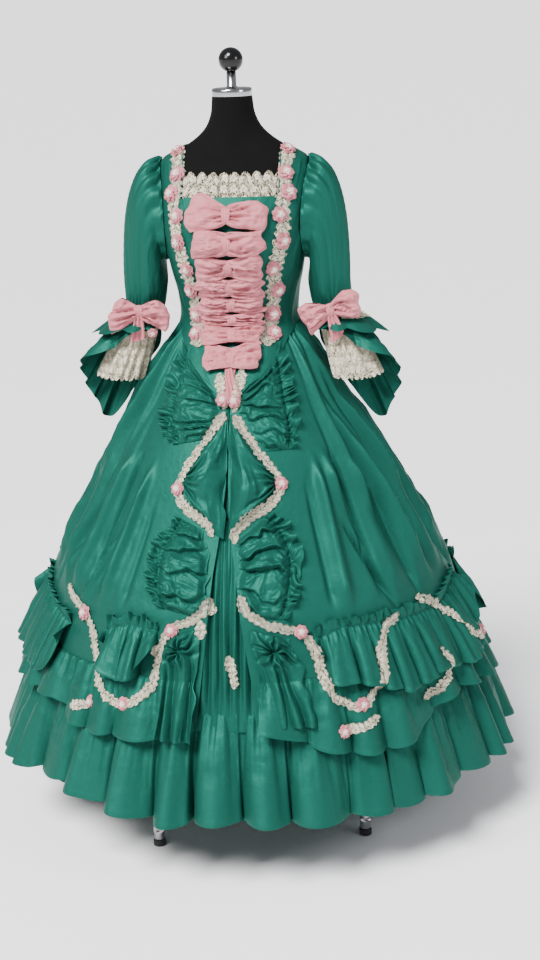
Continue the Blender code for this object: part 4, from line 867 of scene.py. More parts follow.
# The trimmings of the overskirt's fronts: wide bands of taffeta shirred and pleated across,
# a puffed diamond in two halves, and two falls hanging from a rosette of gathers.
# A patch's edges run down; its tilt is in pleats across, its puff and depth in metres
Patch = namedtuple("Patch", "name right_edge left_edge puff pleats tilt depth kind")
PATCHES = (
    Patch("ruched_upper_right",
          (Edge(-43.0, 1.052), Edge(-43.2, 0.995), Edge(-42.2, 0.942), Edge(-38.0, 0.900),
           Edge(-27.0, 0.866)),
          (Edge(-9.5, 0.966), Edge(-6.0, 0.948), Edge(-5.0, 0.930), Edge(-7.5, 0.905),
           Edge(-12.5, 0.880)), 0.0075, 5.5, 0.8, 0.0120, "ruched"),
    Patch("ruched_upper_left",
          (Edge(8.5, 0.966), Edge(5.0, 0.948), Edge(6.5, 0.930), Edge(11.5, 0.896),
           Edge(17.5, 0.858)),
          (Edge(40.0, 1.052), Edge(39.0, 0.992), Edge(37.5, 0.946), Edge(35.0, 0.900),
           Edge(30.0, 0.858)), 0.0075, 5.5, 0.8, 0.0120, "ruched"),
    Patch("pouf_right",
          (Edge(-2.6, 0.938), Edge(-5.6, 0.905), Edge(-11.0, 0.866), Edge(-16.0, 0.826),
           Edge(-18.2, 0.796), Edge(-13.6, 0.762), Edge(-8.6, 0.742), Edge(-4.6, 0.712)),
          (Edge(-0.5, 0.934), Edge(-0.7, 0.890), Edge(-0.7, 0.860), Edge(-0.7, 0.820),
           Edge(-0.7, 0.780), Edge(-0.7, 0.750), Edge(-0.7, 0.725), Edge(-0.7, 0.700)),
          0.0250, 2.0, 0.0, 0.0060, "puffed"),
    Patch("pouf_left",
          (Edge(0.5, 0.928), Edge(0.7, 0.890), Edge(0.7, 0.860), Edge(0.7, 0.820),
           Edge(0.7, 0.780), Edge(0.7, 0.750), Edge(0.7, 0.725), Edge(0.7, 0.700)),
          (Edge(2.6, 0.924), Edge(7.6, 0.892), Edge(13.5, 0.852), Edge(18.0, 0.820),
           Edge(19.0, 0.790), Edge(13.2, 0.760), Edge(7.5, 0.738), Edge(2.5, 0.708)),
          0.0250, 2.0, 0.0, 0.0060, "puffed"),
    Patch("ruched_lower_right",
          (Edge(-17.5, 0.737), Edge(-22.5, 0.700), Edge(-24.5, 0.655), Edge(-23.0, 0.612),
           Edge(-18.6, 0.574)),
          (Edge(-8.2, 0.716), Edge(-5.6, 0.670), Edge(-4.8, 0.630), Edge(-5.2, 0.592),
           Edge(-7.0, 0.561)), 0.0100, 4.6, 0.7, 0.0180, "ruched"),
    Patch("ruched_lower_left",
          (Edge(3.2, 0.694), Edge(4.6, 0.664), Edge(4.6, 0.632), Edge(4.8, 0.600),
           Edge(7.4, 0.560)),
          (Edge(16.0, 0.748), Edge(22.2, 0.716), Edge(23.6, 0.665), Edge(21.4, 0.605),
           Edge(16.8, 0.556)), 0.0100, 4.6, 0.7, 0.0180, "ruched"),
    Patch("fall_right",
          (Edge(-15.0, 0.519), Edge(-15.6, 0.470), Edge(-15.0, 0.400), Edge(-15.4, 0.328)),
          (Edge(-6.6, 0.540), Edge(-6.4, 0.480), Edge(-6.6, 0.400), Edge(-6.4, 0.326)),
          0.0100, 3.0, 0.0, 0.0095, "fall"),
    Patch("fall_left",
          (Edge(6.4, 0.540), Edge(7.4, 0.480), Edge(8.4, 0.420), Edge(9.2, 0.358)),
          (Edge(17.0, 0.520), Edge(19.0, 0.470), Edge(20.6, 0.410), Edge(21.2, 0.352)),
          0.0100, 3.0, 0.0, 0.0095, "fall"),
)
PATCH_GAP = 0.0010
PATCH_ROWS, PATCH_COLUMNS = 104, 80
SHIRRING, FRILL_LIFT, FRILL_DEPTH = 0.20, 0.0085, 0.0090    # the line's share of the width
RUFFLE_CREST, RUFFLE_CREST_TOP, RUFFLE_CREST_FALL = 0.0250, 0.440, 0.120
JAG = 0.006                     # how far a patch's free edges wander


def edge_points(edge, count):
    """Points spread evenly down an edge, on a smooth curve: their angles and heights."""
    at, known = np.linspace(0, len(edge) - 1, count), np.arange(len(edge))
    return smooth(at, known, column(edge, "angle")), smooth(at, known, column(edge, "height"))


def surface_out(height):
    """The outer face of the plain overskirt or, lower down, of the middle ruffle's crests."""
    on_ruffle = ramp(np.asarray(height), RUFFLE_CREST_TOP, RUFFLE_CREST_TOP - RUFFLE_CREST_FALL)
    return straight(LAYERS, height, "overskirt") + CLOTH + RUFFLE_CREST * on_ruffle ** 0.7


def tucks(phase):
    """Overlapping pleats: each swells slowly outwards and falls back sharply at its lower edge."""
    part = phase - np.floor(phase)
    return part ** 0.8 * ramp(part, 1, 0.91) ** 0.7


def ruched_out(s, t, row, seed):
    """Crossways tucks that wander, drawn up along a shirred line beside a free, crimped edge.

    The tucks, the fine gathers at the line and the frill's waves each have a number of their
    own to the patch's length; the shirring is a narrow bell-shaped groove.
    """
    from_outer = s if row.right_edge[0].angle < -10 else 1 - s
    wobble = 0.50 * cloud(s * 2.4, t * row.pleats * 0.8, seed)
    wobble = wobble + 0.20 * cloud(s * 7, t * row.pleats * 2, seed + 1)
    phase = row.pleats * t + row.tilt * from_outer + wobble
    inner = ramp(from_outer, SHIRRING, 0.36) * np.maximum(ramp(from_outer, 1, 0.9), 0.25)
    ends = ramp(np.minimum(t, 1 - t), 0, 0.07)
    big = row.depth * inner * tucks(phase) * (1 + 0.5 * cloud(s * 3, t * 5, seed + 3))
    shirred = np.exp(-((from_outer - SHIRRING) / 0.05) ** 2)
    fine = folds(2 * np.pi * (row.pleats * 2.6 * t + 1.3 * cloud(s * 4, t * 11, seed + 2)))
    near_line = np.exp(-((from_outer - SHIRRING - 0.02) / 0.14) ** 2)
    frill = folds(2 * np.pi * (row.pleats * 1.5 * t + 1.4 * cloud(s * 2, t * 9, seed + 5)))
    loose_edge = ramp(from_outer, SHIRRING, 0) ** 0.6 * (FRILL_LIFT + FRILL_DEPTH * frill)
    return (ends * (big + 0.0030 * near_line * fine - 0.0030 * shirred) + loose_edge
            + 0.0032 * ends * inner * creases(s * 5, t * 9, seed + 4))


def puffed_out(s, t, row, seed):
    """Folds that fan from a knot of gathers at the puff's outer corner towards its inner edge.

    They are widened cosines of the bearing round that corner, under a dome of two sines.
    """
    from_outer = s if row.right_edge[2].angle < -3 else 1 - s
    x, y = from_outer + 0.04, (t - 0.52) * 2.3
    reach, bearing = np.hypot(x, y), np.arctan2(y, x)
    fan = folds(row.pleats * 2.6 * bearing + 1.6 * cloud(from_outer * 2.0 + 9, t * 3.0 + 9, seed), 0.8)
    swell = np.sin(np.pi * s) ** 0.7 * np.sin(np.pi * t) ** 0.5
    star = folds(13 * bearing + 3.0 * cloud(x * 5 + 9, y * 5 + 9, seed + 1))
    knot = 0.0090 * np.exp(-(reach / 0.40) ** 2) * star - 0.0060 * np.exp(-(reach / 0.10) ** 2)
    rumple = 0.0080 * creases(s * 1.8, t * 2.4, seed + 2)
    return swell * (row.depth * fan * ramp(reach, 0, 0.5) + rumple) + ramp(swell, 0, 1 / 3) * knot


def fall_out(s, t, row, seed):
    """Folds that fan from a rosette of gathers near the top and open towards the hem.

    The folds are widened cosines across the fall, and the rosette's gathers cosines of the
    bearing round its middle, which is drawn in.
    """
    phase = row.pleats * (s + 0.14 * cloud(s * 3, t * 2, seed)) + 0.2 * t
    opening = np.clip(t, 0.05, 1) ** 0.6
    x, y = s - 0.5, (t - 0.20) * 2.4
    reach, bearing = np.hypot(x, y), np.arctan2(y, x)
    rosette = np.exp(-((reach - 0.24) / 0.24) ** 2)
    star = folds(8 * bearing + 3.0 * cloud(x * 5 + 9, y * 5 + 9, seed + 1))
    return (row.depth * opening * folds(2 * np.pi * phase, 0.6) + rosette * (0.0100 + 0.0075 * star)
            - 0.0080 * np.exp(-(reach / 0.07) ** 2) + 0.0022 * creases(s * 4, t * 4, seed + 2) * opening)


OUT_OF = {"ruched": ruched_out, "puffed": puffed_out, "fall": fall_out}
for k, row in enumerate(PATCHES):
    right_angle, right_height = edge_points(row.right_edge, PATCH_ROWS)
    left_angle, left_height = edge_points(row.left_edge, PATCH_ROWS)
    s, t = np.linspace(0, 1, PATCH_COLUMNS), np.linspace(0, 1, PATCH_ROWS)[:, None]
    angle = right_angle[:, None] * (1 - s) + left_angle[:, None] * s
    height = right_height[:, None] * (1 - s) + left_height[:, None] * s
    across = figure(left_angle, left_height) - figure(right_angle, right_height)
    roomy = ramp(np.linalg.norm(across, axis=-1), 0, 0.05)[:, None]
    swell = np.sin(np.pi * s) ** 1.2 * np.sin(np.pi * t) ** 0.6 * roomy
    out = surface_out(height) + PATCH_GAP + row.puff * swell + OUT_OF[row.kind](s, t, row, 120 + 9 * k)
    free = np.exp(-(np.minimum(s, 1 - s) / 0.08) ** 2) * np.sin(np.pi * t) ** 0.3
    jag = JAG * free * cloud(s * 3 + 5, t * row.pleats * 2.6, 190 + k)
    angle = angle + np.degrees(jag / straight(FIGURE, height, "half_width"))
    grid = figure(angle, height + 0.6 * jag, out)
    side = "left" if row.name.endswith("left") else "right"
    piece = surface(f"{row.name}_cloth", grid, taffeta)
    sew(piece, grid, [row.name])


# The sleeves: one piece of taffeta each, pleated into the armhole at the shoulder, slim and a
# little full above the elbow, and gathered into the edge that carries the ruffles.
Ring = namedtuple("Ring", "inner_x inner_z outer_x outer_z y depth")
SLEEVE = (
    Ring(0.1465, 1.2075, 0.1780, 1.4040, -0.0435, 0.0575),
    Ring(0.1500, 1.2000, 0.2030, 1.3680, -0.0430, 0.0585),
    Ring(0.1505, 1.1880, 0.2195, 1.3050, -0.0435, 0.0560),
    Ring(0.1510, 1.1650, 0.2290, 1.2200, -0.0460, 0.0500),
    Ring(0.1550, 1.1320, 0.2330, 1.1520, -0.0500, 0.0435),
    Ring(0.1630, 1.1000, 0.2340, 1.1080, -0.0530, 0.0370),
)
SLEEVE_ROWS, SLEEVE_COLUMNS = 100, 180
HEAD_LAP_ANGLE, HEAD_LAP_RISE = 1.6, 0.0015     # how far the sleeve's head covers the armhole
SLEEVE_HEAD_OUT = BODICE_SKIN + 0.0016
HEAD_PLEATS, FOOT_GATHERS = 15, 30
PLEAT_DEPTH, GATHERED_DEPTH, SLEEVE_FULL = 0.0056, 0.0030, 0.0036
SLEEVE_FOLDS, SLEEVE_DRAGS = 0.0036, 0.0024


def between(grid, at):
    """Rows of a grid at fractional row numbers, on smooth curves through the known rows."""
    k = np.clip(at.astype(int), 0, len(grid) - 2)
    return hermite(grid, np.gradient(grid, axis=0), k, (at - k)[:, None, None])


def displaced(points, amount, wrap=False):
    """A grid moved along its own normals, which are cross products of its two slopes."""
    if wrap:
        round_it = (np.roll(points, -1, axis=1) - np.roll(points, 1, axis=1)) / 2
    else:
        round_it = np.gradient(points, axis=1)
    normal = np.cross(np.gradient(points, axis=0), round_it)
    normal /= np.maximum(np.linalg.norm(normal, axis=-1, keepdims=True), 1e-9)
    return points + normal * np.broadcast_to(amount, points.shape[:2])[..., None]


turns = np.arange(SLEEVE_COLUMNS) * 2 * np.pi / SLEEVE_COLUMNS
rings = [figure(SIDE_SEAM + (ARMHOLE_ANGLE + HEAD_LAP_ANGLE) * np.sin(turns),
                ARMHOLE_HEIGHT + (ARMHOLE_RISE + HEAD_LAP_RISE) * np.cos(turns), SLEEVE_HEAD_OUT)]
for ring in SLEEVE:
    share = (1 + np.cos(turns)) / 2
    rings.append(np.stack([ring.inner_x + (ring.outer_x - ring.inner_x) * share,
                           ring.y + ring.depth * np.sin(turns),
                           ring.inner_z + (ring.outer_z - ring.inner_z) * share], axis=-1))
sleeve_tube = between(np.array(rings), np.linspace(0, len(SLEEVE), SLEEVE_ROWS))
down = np.linspace(0, 1, SLEEVE_ROWS)[:, None]
outer = ramp(np.cos(turns), -1.15, 1) ** 0.8
at_foot = ramp(down, 0.80, 1)
x, y = 2.2 * np.cos(turns) + 20, 2.2 * np.sin(turns) + 20
pleats = folds(HEAD_PLEATS * turns + 1.5 * cloud(x, y, 200) + 0.5 * down, 0.8)
gathers = folds(FOOT_GATHERS * turns + 2.2 * cloud(1.5 * x, 1.5 * y, 201), 0.8)
long_folds = folds(3 * turns + 2.4 * cloud(0.5 * x, 0.5 * y + 1.2 * down, 202) + 1.5 * down, 0.8)
drags = creases(0.7 * x + 0.4 * down, 0.7 * y + 1.4 * down, 203)
at_head = outer * ramp(down, 0.34, 0.04) * np.minimum(down * 30, 1)
along_arm = np.minimum(down * 5, 1) * (1 - 0.7 * at_foot)
amount = (PLEAT_DEPTH * at_head * pleats + GATHERED_DEPTH * at_foot * gathers
          + (SLEEVE_FOLDS * long_folds + SLEEVE_DRAGS * drags) * along_arm
          + SLEEVE_FULL * np.sin(np.pi * down) ** 2)
sleeve_tube = displaced(sleeve_tube, amount, wrap=True)
for name, side in SIDES.items():
    grid = on_side(sleeve_tube, side)
    piece = surface(f"sleeve_{name}_tube", grid, taffeta, wrap=True)
    sew(piece, grid, [f"sleeve_{name}"], wrap=True)


# The elbow ruffles: on each sleeve a short upper flounce, under it a long winged flounce that
# drops behind the elbow, both gathered taffeta, and inside them a deep flounce of cream lace.
CUFF_X, CUFF_Y, CUFF_Z, CUFF_TILT = 0.1985, -0.0530, 1.1040, 0.0040
LEAN_X, LEAN_Y = 0.385, -0.250
UPPER_TOP, WING_TOP, LACE_TOP = 0.0402, 0.0362, 0.0345     # radii where each is gathered
UPPER_FLUTES, WING_FLUTES, LACE_FLUTES, LACE_SCALLOPS = 9, 11, 13, 15
WING_UNDER, LACE_UNDER, LACE_LENGTH = 0.0021, 0.0030, 0.121
BAND_ROWS, BAND_COLUMNS = slice(4, 15), slice(190, 238)     # the upper flounce's part under lace
Wing = namedtuple("Wing", "angle drop reach")
WING = (Wing(0, 0.126, 0.080), Wing(60, 0.200, 0.072), Wing(90, 0.232, 0.068),
        Wing(120, 0.160, 0.066), Wing(150, 0.080, 0.054), Wing(180, 0.030, 0.0405),
        Wing(225, 0.032, 0.043), Wing(270, 0.036, 0.050), Wing(310, 0.075, 0.080),
        Wing(335, 0.095, 0.100), Wing(360, 0.126, 0.080))
CUFF_COLUMNS = 240


def lace_finish(name, pitch, net, thin):
    """Cream lace: five-petalled flowers, a pitch apart both ways, on a net of fine threads.

    Each flower is a radius that varies with the cosine of its bearing, drawn in a repeat of the
    UV map; the net is the edges of Voronoi cells. Thread stands up from the ground.
    """
    paint = Paint(name, Roughness=0.85, Sheen_Weight=0.2)
    flat = paint.place("uv")
    apart = paint.node("ShaderNodeSeparateXYZ", {}, {"Vector": flat})
    x, y = ((paint.wire(apart, axis) * (1 / pitch)).maths("FRACT") - 0.5 for axis in ("X", "Y"))
    reach = (x * x + y * y).maths("SQRT")
    bearing = y.maths("ARCTAN2", x)
    petal = (bearing * 5.0).maths("COSINE") * 0.08 + 0.34
    flower = (petal - reach).above(0.0, 0.05)
    eye = (reach - 0.11).maths("ABSOLUTE").above(0.025, 0.02)
    vein = (bearing * 5.0).maths("SINE").maths("ABSOLUTE").above(0.13, 0.12)
    threads = 1.0 - paint.cells(flat, net).above(thin, 0.05)
    knots = paint.noise(flat, 900.0, 2.0)
    body = flower * eye * (vein * 0.75 + 0.25)
    relief = body * 0.8 + threads * 0.5 + knots * 0.5
    share = (knots * 0.5 + body * 0.5).clamp()
    cream = paint.mix(share, (0.30, 0.250, 0.155), (0.76, 0.700, 0.550))
    return paint.finish(Base_Color=cream, Alpha=body.maths("MAXIMUM", threads).clamp(),
                        Normal=paint.bump(relief, 0.0012, 0.9))


def cuff_grid(drop, reach, turns):
    """Points round the cuff, given how far below it and how far from the leaning axis they lie."""
    fallen = np.maximum(drop, 0)
    return np.stack([CUFF_X + LEAN_X * fallen + reach * np.cos(turns),
                     CUFF_Y + LEAN_Y * fallen + reach * np.sin(turns),
                     CUFF_Z + CUFF_TILT * np.cos(turns) - drop], axis=-1)


flounce_lace = lace_finish("flounce_lace", 0.022, 230.0, 0.17)
turns = np.arange(CUFF_COLUMNS) * 2 * np.pi / CUFF_COLUMNS
circle_x, circle_y = 2 * np.cos(turns) + 20, 2 * np.sin(turns) + 20
wander = 1.4 * cloud(circle_x, circle_y, 210)
t = np.linspace(0, 1, 32)[:, None]
spread = 0.0478 * (0.66 + 0.34 * np.cos(turns))
flutes = folds(UPPER_FLUTES * turns + wander + 0.6 * t, 0.7)
gathers = 0.0013 * (1 - t) ** 3 * np.cos(40 * turns + 3 * wander)
upper_drop = -0.003 + (0.040 + 0.013 * np.sin(turns + 0.6)) * t + 0.003 * t ** 3 * flutes
upper_cuff = cuff_grid(upper_drop, UPPER_TOP + spread * t ** 0.9 + 0.0065 * t * flutes + gathers, turns)

t = np.linspace(0, 1, 52)[:, None]
drop = read(WING, np.degrees(turns), "drop", key="angle") - WING_UNDER
reach = read(WING, np.degrees(turns), "reach", key="angle") - WING_TOP
flutes = folds(WING_FLUTES * turns + 1.8 * wander + 0.7 * t, 0.7)
gathers = 0.0011 * (1 - t) ** 4 * np.cos(44 * turns + 2 * wander)
wing_cuff = cuff_grid(WING_UNDER + drop * t - 0.003 * t ** 3 * flutes,
                      WING_TOP + reach * t ** 0.85 + 0.0080 * t ** 0.9 * flutes + gathers, turns)
crushed = 0.0022 * np.sin(np.pi * t) * creases(2 * circle_x, 2 * circle_y + 5 * t, 211)
wing_cuff = displaced(wing_cuff, crushed, wrap=True)

t = np.linspace(0, 1, 46)[:, None]
flutes = folds(LACE_FLUTES * turns + 2.0 * wander + 0.5 * t, 0.8)
scallops = np.abs(np.sin(LACE_SCALLOPS * turns)) ** 0.7
lace_drop = LACE_UNDER + (LACE_LENGTH + 0.006 * scallops) * t - 0.002 * t * flutes
lace_cuff = cuff_grid(lace_drop, LACE_TOP + 0.0135 * t ** 0.8 + 0.0048 * t ** 0.6 * flutes, turns)
for name, side in SIDES.items():
    for kind, points, finish, slot in (("upper_ruffle", upper_cuff, taffeta, "green_taffeta"),
                                       ("wing", wing_cuff, taffeta, "green_taffeta"),
                                       ("lace", lace_cuff, flounce_lace, "cream_lace")):
        grid = on_side(points, side)
        piece = surface(f"cuff_{kind}_{name}_flounce", grid, finish, wrap=True)
        sew(piece, grid, [f"cuff_{kind}_{name}"], wrap=True)
band_grid = displaced(upper_cuff[BAND_ROWS, BAND_COLUMNS], 0.0018)
band = surface("cuff_band_left_lace", band_grid, flounce_lace)
sew(band, band_grid, [])


# The bows: a ladder of eight pink chiffon bows down the stomacher, each overlapping the next,
# with tails under the lowest, and one at the front of each cuff. Each is a loop pinched by a knot.
CHIFFON = 0.0012
CHEST_CURVE = 0.19
Bow = namedtuple("Bow", "height half_width half_height fullness lift pinch droop", defaults=(0.86, 0))
BOWS = (
    Bow(1.3080, 0.0720, 0.0260, 0.021, 0.0018, 0.50),
    Bow(1.2585, 0.0680, 0.0215, 0.019, 0.0027),
    Bow(1.2150, 0.0630, 0.0205, 0.018, 0.0010),
    Bow(1.1745, 0.0620, 0.0185, 0.018, 0.0014),
    Bow(1.1365, 0.0600, 0.0180, 0.018, 0.0018),
    Bow(1.1000, 0.0570, 0.0170, 0.017, 0.0023),
    Bow(1.0645, 0.0560, 0.0165, 0.017, 0.0032),
    Bow(1.0240, 0.0540, 0.0200, 0.016, 0.0009),
)
CUFF_BOW = Bow(1.1150, 0.0620, 0.0250, 0.024, 0.0032, 0.42, 0.010)
CUFF_BOW_X, CUFF_BOW_Y, CUFF_BOW_TILT = 0.1960, -0.1020, {"right": 0.0, "left": 20.0}
BOW_COLUMNS, BOW_ROWS = 112, 36
LOOP_MIDDLE, LOOP_THICK = 0.433, 0.72           # shares of a bow's fullness
BOW_RIDGES, BOW_CREASES, FINE_CREASES, BOW_PLEATS = 0.0030, 0.0072, 0.0034, 0.0030
KNOT_HALF_WIDTH, KNOT_HALF_HEIGHT, KNOT_THICK = 0.0082, 0.0125, 0.0072
TAILS_HEIGHT, TAIL_HALF_WIDTH, CUFF_TAIL_HALF_WIDTH = 1.000, 0.0135, 0.016


def chiffon_finish():
    """Crisp pink silk chiffon: a fine even weave and a powdery sheen, paler where it thins."""
    paint = Paint("pink_chiffon", Roughness=0.62, Sheen_Weight=0.12, Sheen_Roughness=0.4)
    weave = paint.noise(paint.place("uv"), 1500.0, 1.0)
    tone = paint.noise(paint.place("object"), 30.0, 3.0)
    crinkle = paint.noise(paint.place("object", (0.5, 1.0, 2.2)), 130.0, 3.0, 0.8)
    pink = paint.mix(tone, (0.38, 0.092, 0.112), (0.50, 0.165, 0.188))
    return paint.finish(Base_Color=pink, Normal=paint.bump(weave * 0.2 + crinkle, 0.0018, 0.8))


def bow_middle(size):
    """How far ahead of the cloth a bow's middle lies, clear of the chest's curve behind it."""
    return size.lift + CHIFFON + LOOP_MIDDLE * size.fullness + size.half_height ** 2 / (2 * CHEST_CURVE)


def bow_points(size, seed):
    """(across, up, ahead) of a bow: a flat loop pinched at the knot, that may droop at its ends.

    The turn goes once round the loop and r from its upper to its lower edge. Across is the
    turn's sine; up is r times a half-height that opens away from the pinch; ahead is the turn's
    cosine times a thickness that is a pillow over r. Ridges and creases are folded noise on r,
    largest on the loop's faces and fading at the knot and the ends.
    """
    turn = np.arange(BOW_COLUMNS) * 2 * np.pi / BOW_COLUMNS - np.pi / 2
    r = np.linspace(1, -1, BOW_ROWS)[:, None]
    out = np.abs(np.sin(turn))
    lobe = np.sign(np.sin(turn))
    ruck = cloud(1.5 * lobe * out + 9, 1.3 * r + 9, seed)
    squared = 1 - 0.10 * np.abs(r) ** 4 + 0.10 * cloud(lobe * 3 + 7, r * 2.0 + 7, seed + 1)
    across = size.half_width * np.sin(turn) * squared
    open_up = size.pinch + (1.20 - size.pinch) * np.clip(out / 0.70, 0, 1) ** 0.85
    up = size.half_height * (open_up * (r + 0.16 * ruck) + 0.22 * out * ruck) - size.droop * out ** 2
    pillow = (1 - 0.98 * r ** 4) ** 0.6
    full = (LOOP_THICK * size.fullness * out ** 0.7 * pillow + CHIFFON) * np.cos(turn)
    ridges = folds(2 * np.pi * (0.8 * r + 0.9 * ruck + 0.15 * lobe), 0.7)
    crushed = creases(2.3 * out * lobe + 9, 3.0 * r + 1.4 * ruck + 9, seed + 2)
    fine = creases(5.5 * out * lobe + 5, 4.5 * r + 2.0 * ruck + 5, seed + 3)
    pleats = folds(2 * np.pi * (1.7 * r + 0.9 * ruck), 0.8) * (1 - out) ** 0.8
    rise = BOW_RIDGES * ridges + BOW_CREASES * crushed + FINE_CREASES * fine + BOW_PLEATS * pleats
    rise = rise * np.sign(np.cos(turn)) * np.abs(np.cos(turn)) ** 0.5
    rise = rise * (0.30 + 0.70 * np.sin(np.pi * np.clip(out, 0, 1)) ** 0.5) * (0.3 + 0.7 * pillow)
    return across, up, bow_middle(size) + full + rise + 0 * r


def knot_points(middle):
    """(across, up, ahead) of the knot: a ring whose sine and cosine of the turn swell at mid-width."""
    turn = np.arange(40) * 2 * np.pi / 40
    r = np.linspace(-1, 1, 14)[:, None]
    belly = 1 + 0.10 * (1 - r ** 2)
    thick = KNOT_THICK * belly + 0.0009 * np.cos(2 * np.pi * 1.6 * r)
    across = KNOT_HALF_WIDTH * r * (1 + 0.12 * np.cos(turn))
    return across, KNOT_HALF_HEIGHT * belly * np.cos(turn), middle + thick * np.sin(turn)


def on_stomacher(height):
    """Places a bow on the stomacher's curve, its middle at a height."""
    def place(across, up, ahead):
        z = height + up
        return figure(np.sign(across) * angle_at(np.abs(across), z), z, BODICE_SKIN + ahead)
    return place


def on_cuff(side, tilt):
    """Places a cuff's bow: turned by its tilt in degrees, and flat across the front of the cuff."""
    c, s = math.cos(math.radians(tilt)), math.sin(math.radians(tilt))

    def place(across, up, ahead):
        return np.stack([side * CUFF_BOW_X + across * c - up * s, CUFF_BOW_Y - ahead,
                         CUFF_BOW.height + across * s + up * c], axis=-1)
    return place


def outwards(points):
    """The grid, with its columns turned round if its faces would look inwards."""
    middle = points.reshape(-1, 3).mean(axis=0)
    normal = np.cross(np.diff(points, axis=0), np.diff(closed(points), axis=1)[:-1])
    return points if (normal * (points[:-1] - middle)).sum() > 0 else points[:, ::-1]


def tie(name, place, size, seed):
    """One bow at a place: its loop, which stands for the node, and its knot."""
    across, up, ahead = bow_points(size, seed)
    grid = outwards(place(across, up, ahead))
    loop = surface(f"{name}_loop", grid, chiffon, wrap=True)
    knot = surface(f"{name}_knot", outwards(place(*knot_points(bow_middle(size)))), chiffon, wrap=True)
    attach(knot, "root")
    sew(loop, grid, [name], wrap=True)


def tail(name, node, place, start, end, half_width, ahead, seed):
    """A ribbon end from start to end, each (across, up): it widens, in folds along its length."""
    t, s = np.linspace(0, 1, 40)[:, None], np.linspace(-1, 1, 26)
    across = start[0] + (end[0] - start[0]) * t + half_width * (0.45 + 0.55 * t ** 0.7) * s
    up = start[1] + (end[1] - start[1]) * t + 0.004 * s * t
    fold = folds(2 * np.pi * (1.4 * s + 0.2 * cloud(s * 2, t * 3, seed)))
    grid = place(across, up, ahead + 0.0022 * np.minimum(t * 5, 1) * fold)
    sew(surface(name, grid, chiffon), grid, [node])


chiffon = chiffon_finish()
for k, row in enumerate(BOWS):
    tie(f"bow_{k + 1}", on_stomacher(row.height), row, 230 + 5 * k)
for name, side in SIDES.items():
    place = on_cuff(side, CUFF_BOW_TILT[name])
    tie(f"cuff_bow_{name}", place, CUFF_BOW, 280 + side)
    tail(f"cuff_bow_{name}_tail", f"cuff_bow_{name}", place, (0.0, 0.0), (-0.006, -0.060),
         CUFF_TAIL_HALF_WIDTH, 0.0200, 295 + side)
for k, (start, end, ahead) in enumerate((((0.004, 0.008), (-0.012, -0.050), 0.0035),
                                         ((-0.004, 0.008), (0.009, -0.047), 0.0075))):
    tail(f"bow_tails_ribbon_{k + 1}", "bow_tails", on_stomacher(TAILS_HEIGHT), start, end,
         TAIL_HALF_WIDTH, ahead, 290 + k)


# The lace: a frill along the neckline, a galloon of corded flowers down each side of the
# stomacher, and narrow swags on the skirt, each caught up by ribbon roses sewn on with thread.
Trim = namedtuple("Trim", "width scallop pitch")
GALLOON, NARROW = Trim(0.028, 0.0055, 0.0145), Trim(0.0170, 0.0034, 0.0125)
LACE_CLEAR, STITCH = 0.0018, 0.0022             # its height off the cloth, and its mesh's step
RAY_FROM, RAY_LENGTH, RAY_LOST = 0.10, 0.17, -0.005
EDGING = (Width(1.432, 0.103), Width(1.418, 0.106), Width(1.396, 0.1065), Width(1.343, 0.1075),
          Width(1.293, 0.1060), Width(1.233, 0.0945), Width(1.164, 0.0810), Width(1.104, 0.0745),
          Width(1.045, 0.0680))
Rose = namedtuple("Rose", "height right left")
BODICE_ROSES = (Rose(1.426, 0.110, 0.109), Rose(1.385, 0.106, 0.109), Rose(1.349, 0.115, 0.115),
                Rose(1.309, 0.101, 0.099), Rose(1.260, 0.099, 0.104), Rose(1.206, 0.084, 0.083),
                Rose(1.160, 0.082, 0.088), Rose(1.109, 0.073, 0.076), Rose(1.068, 0.076, 0.079))
BODICE_ROSE, SKIRT_ROSE, CUFF_ROSE = 0.0165, 0.0145, 0.0110
Swag = namedtuple("Swag", "name points roses")
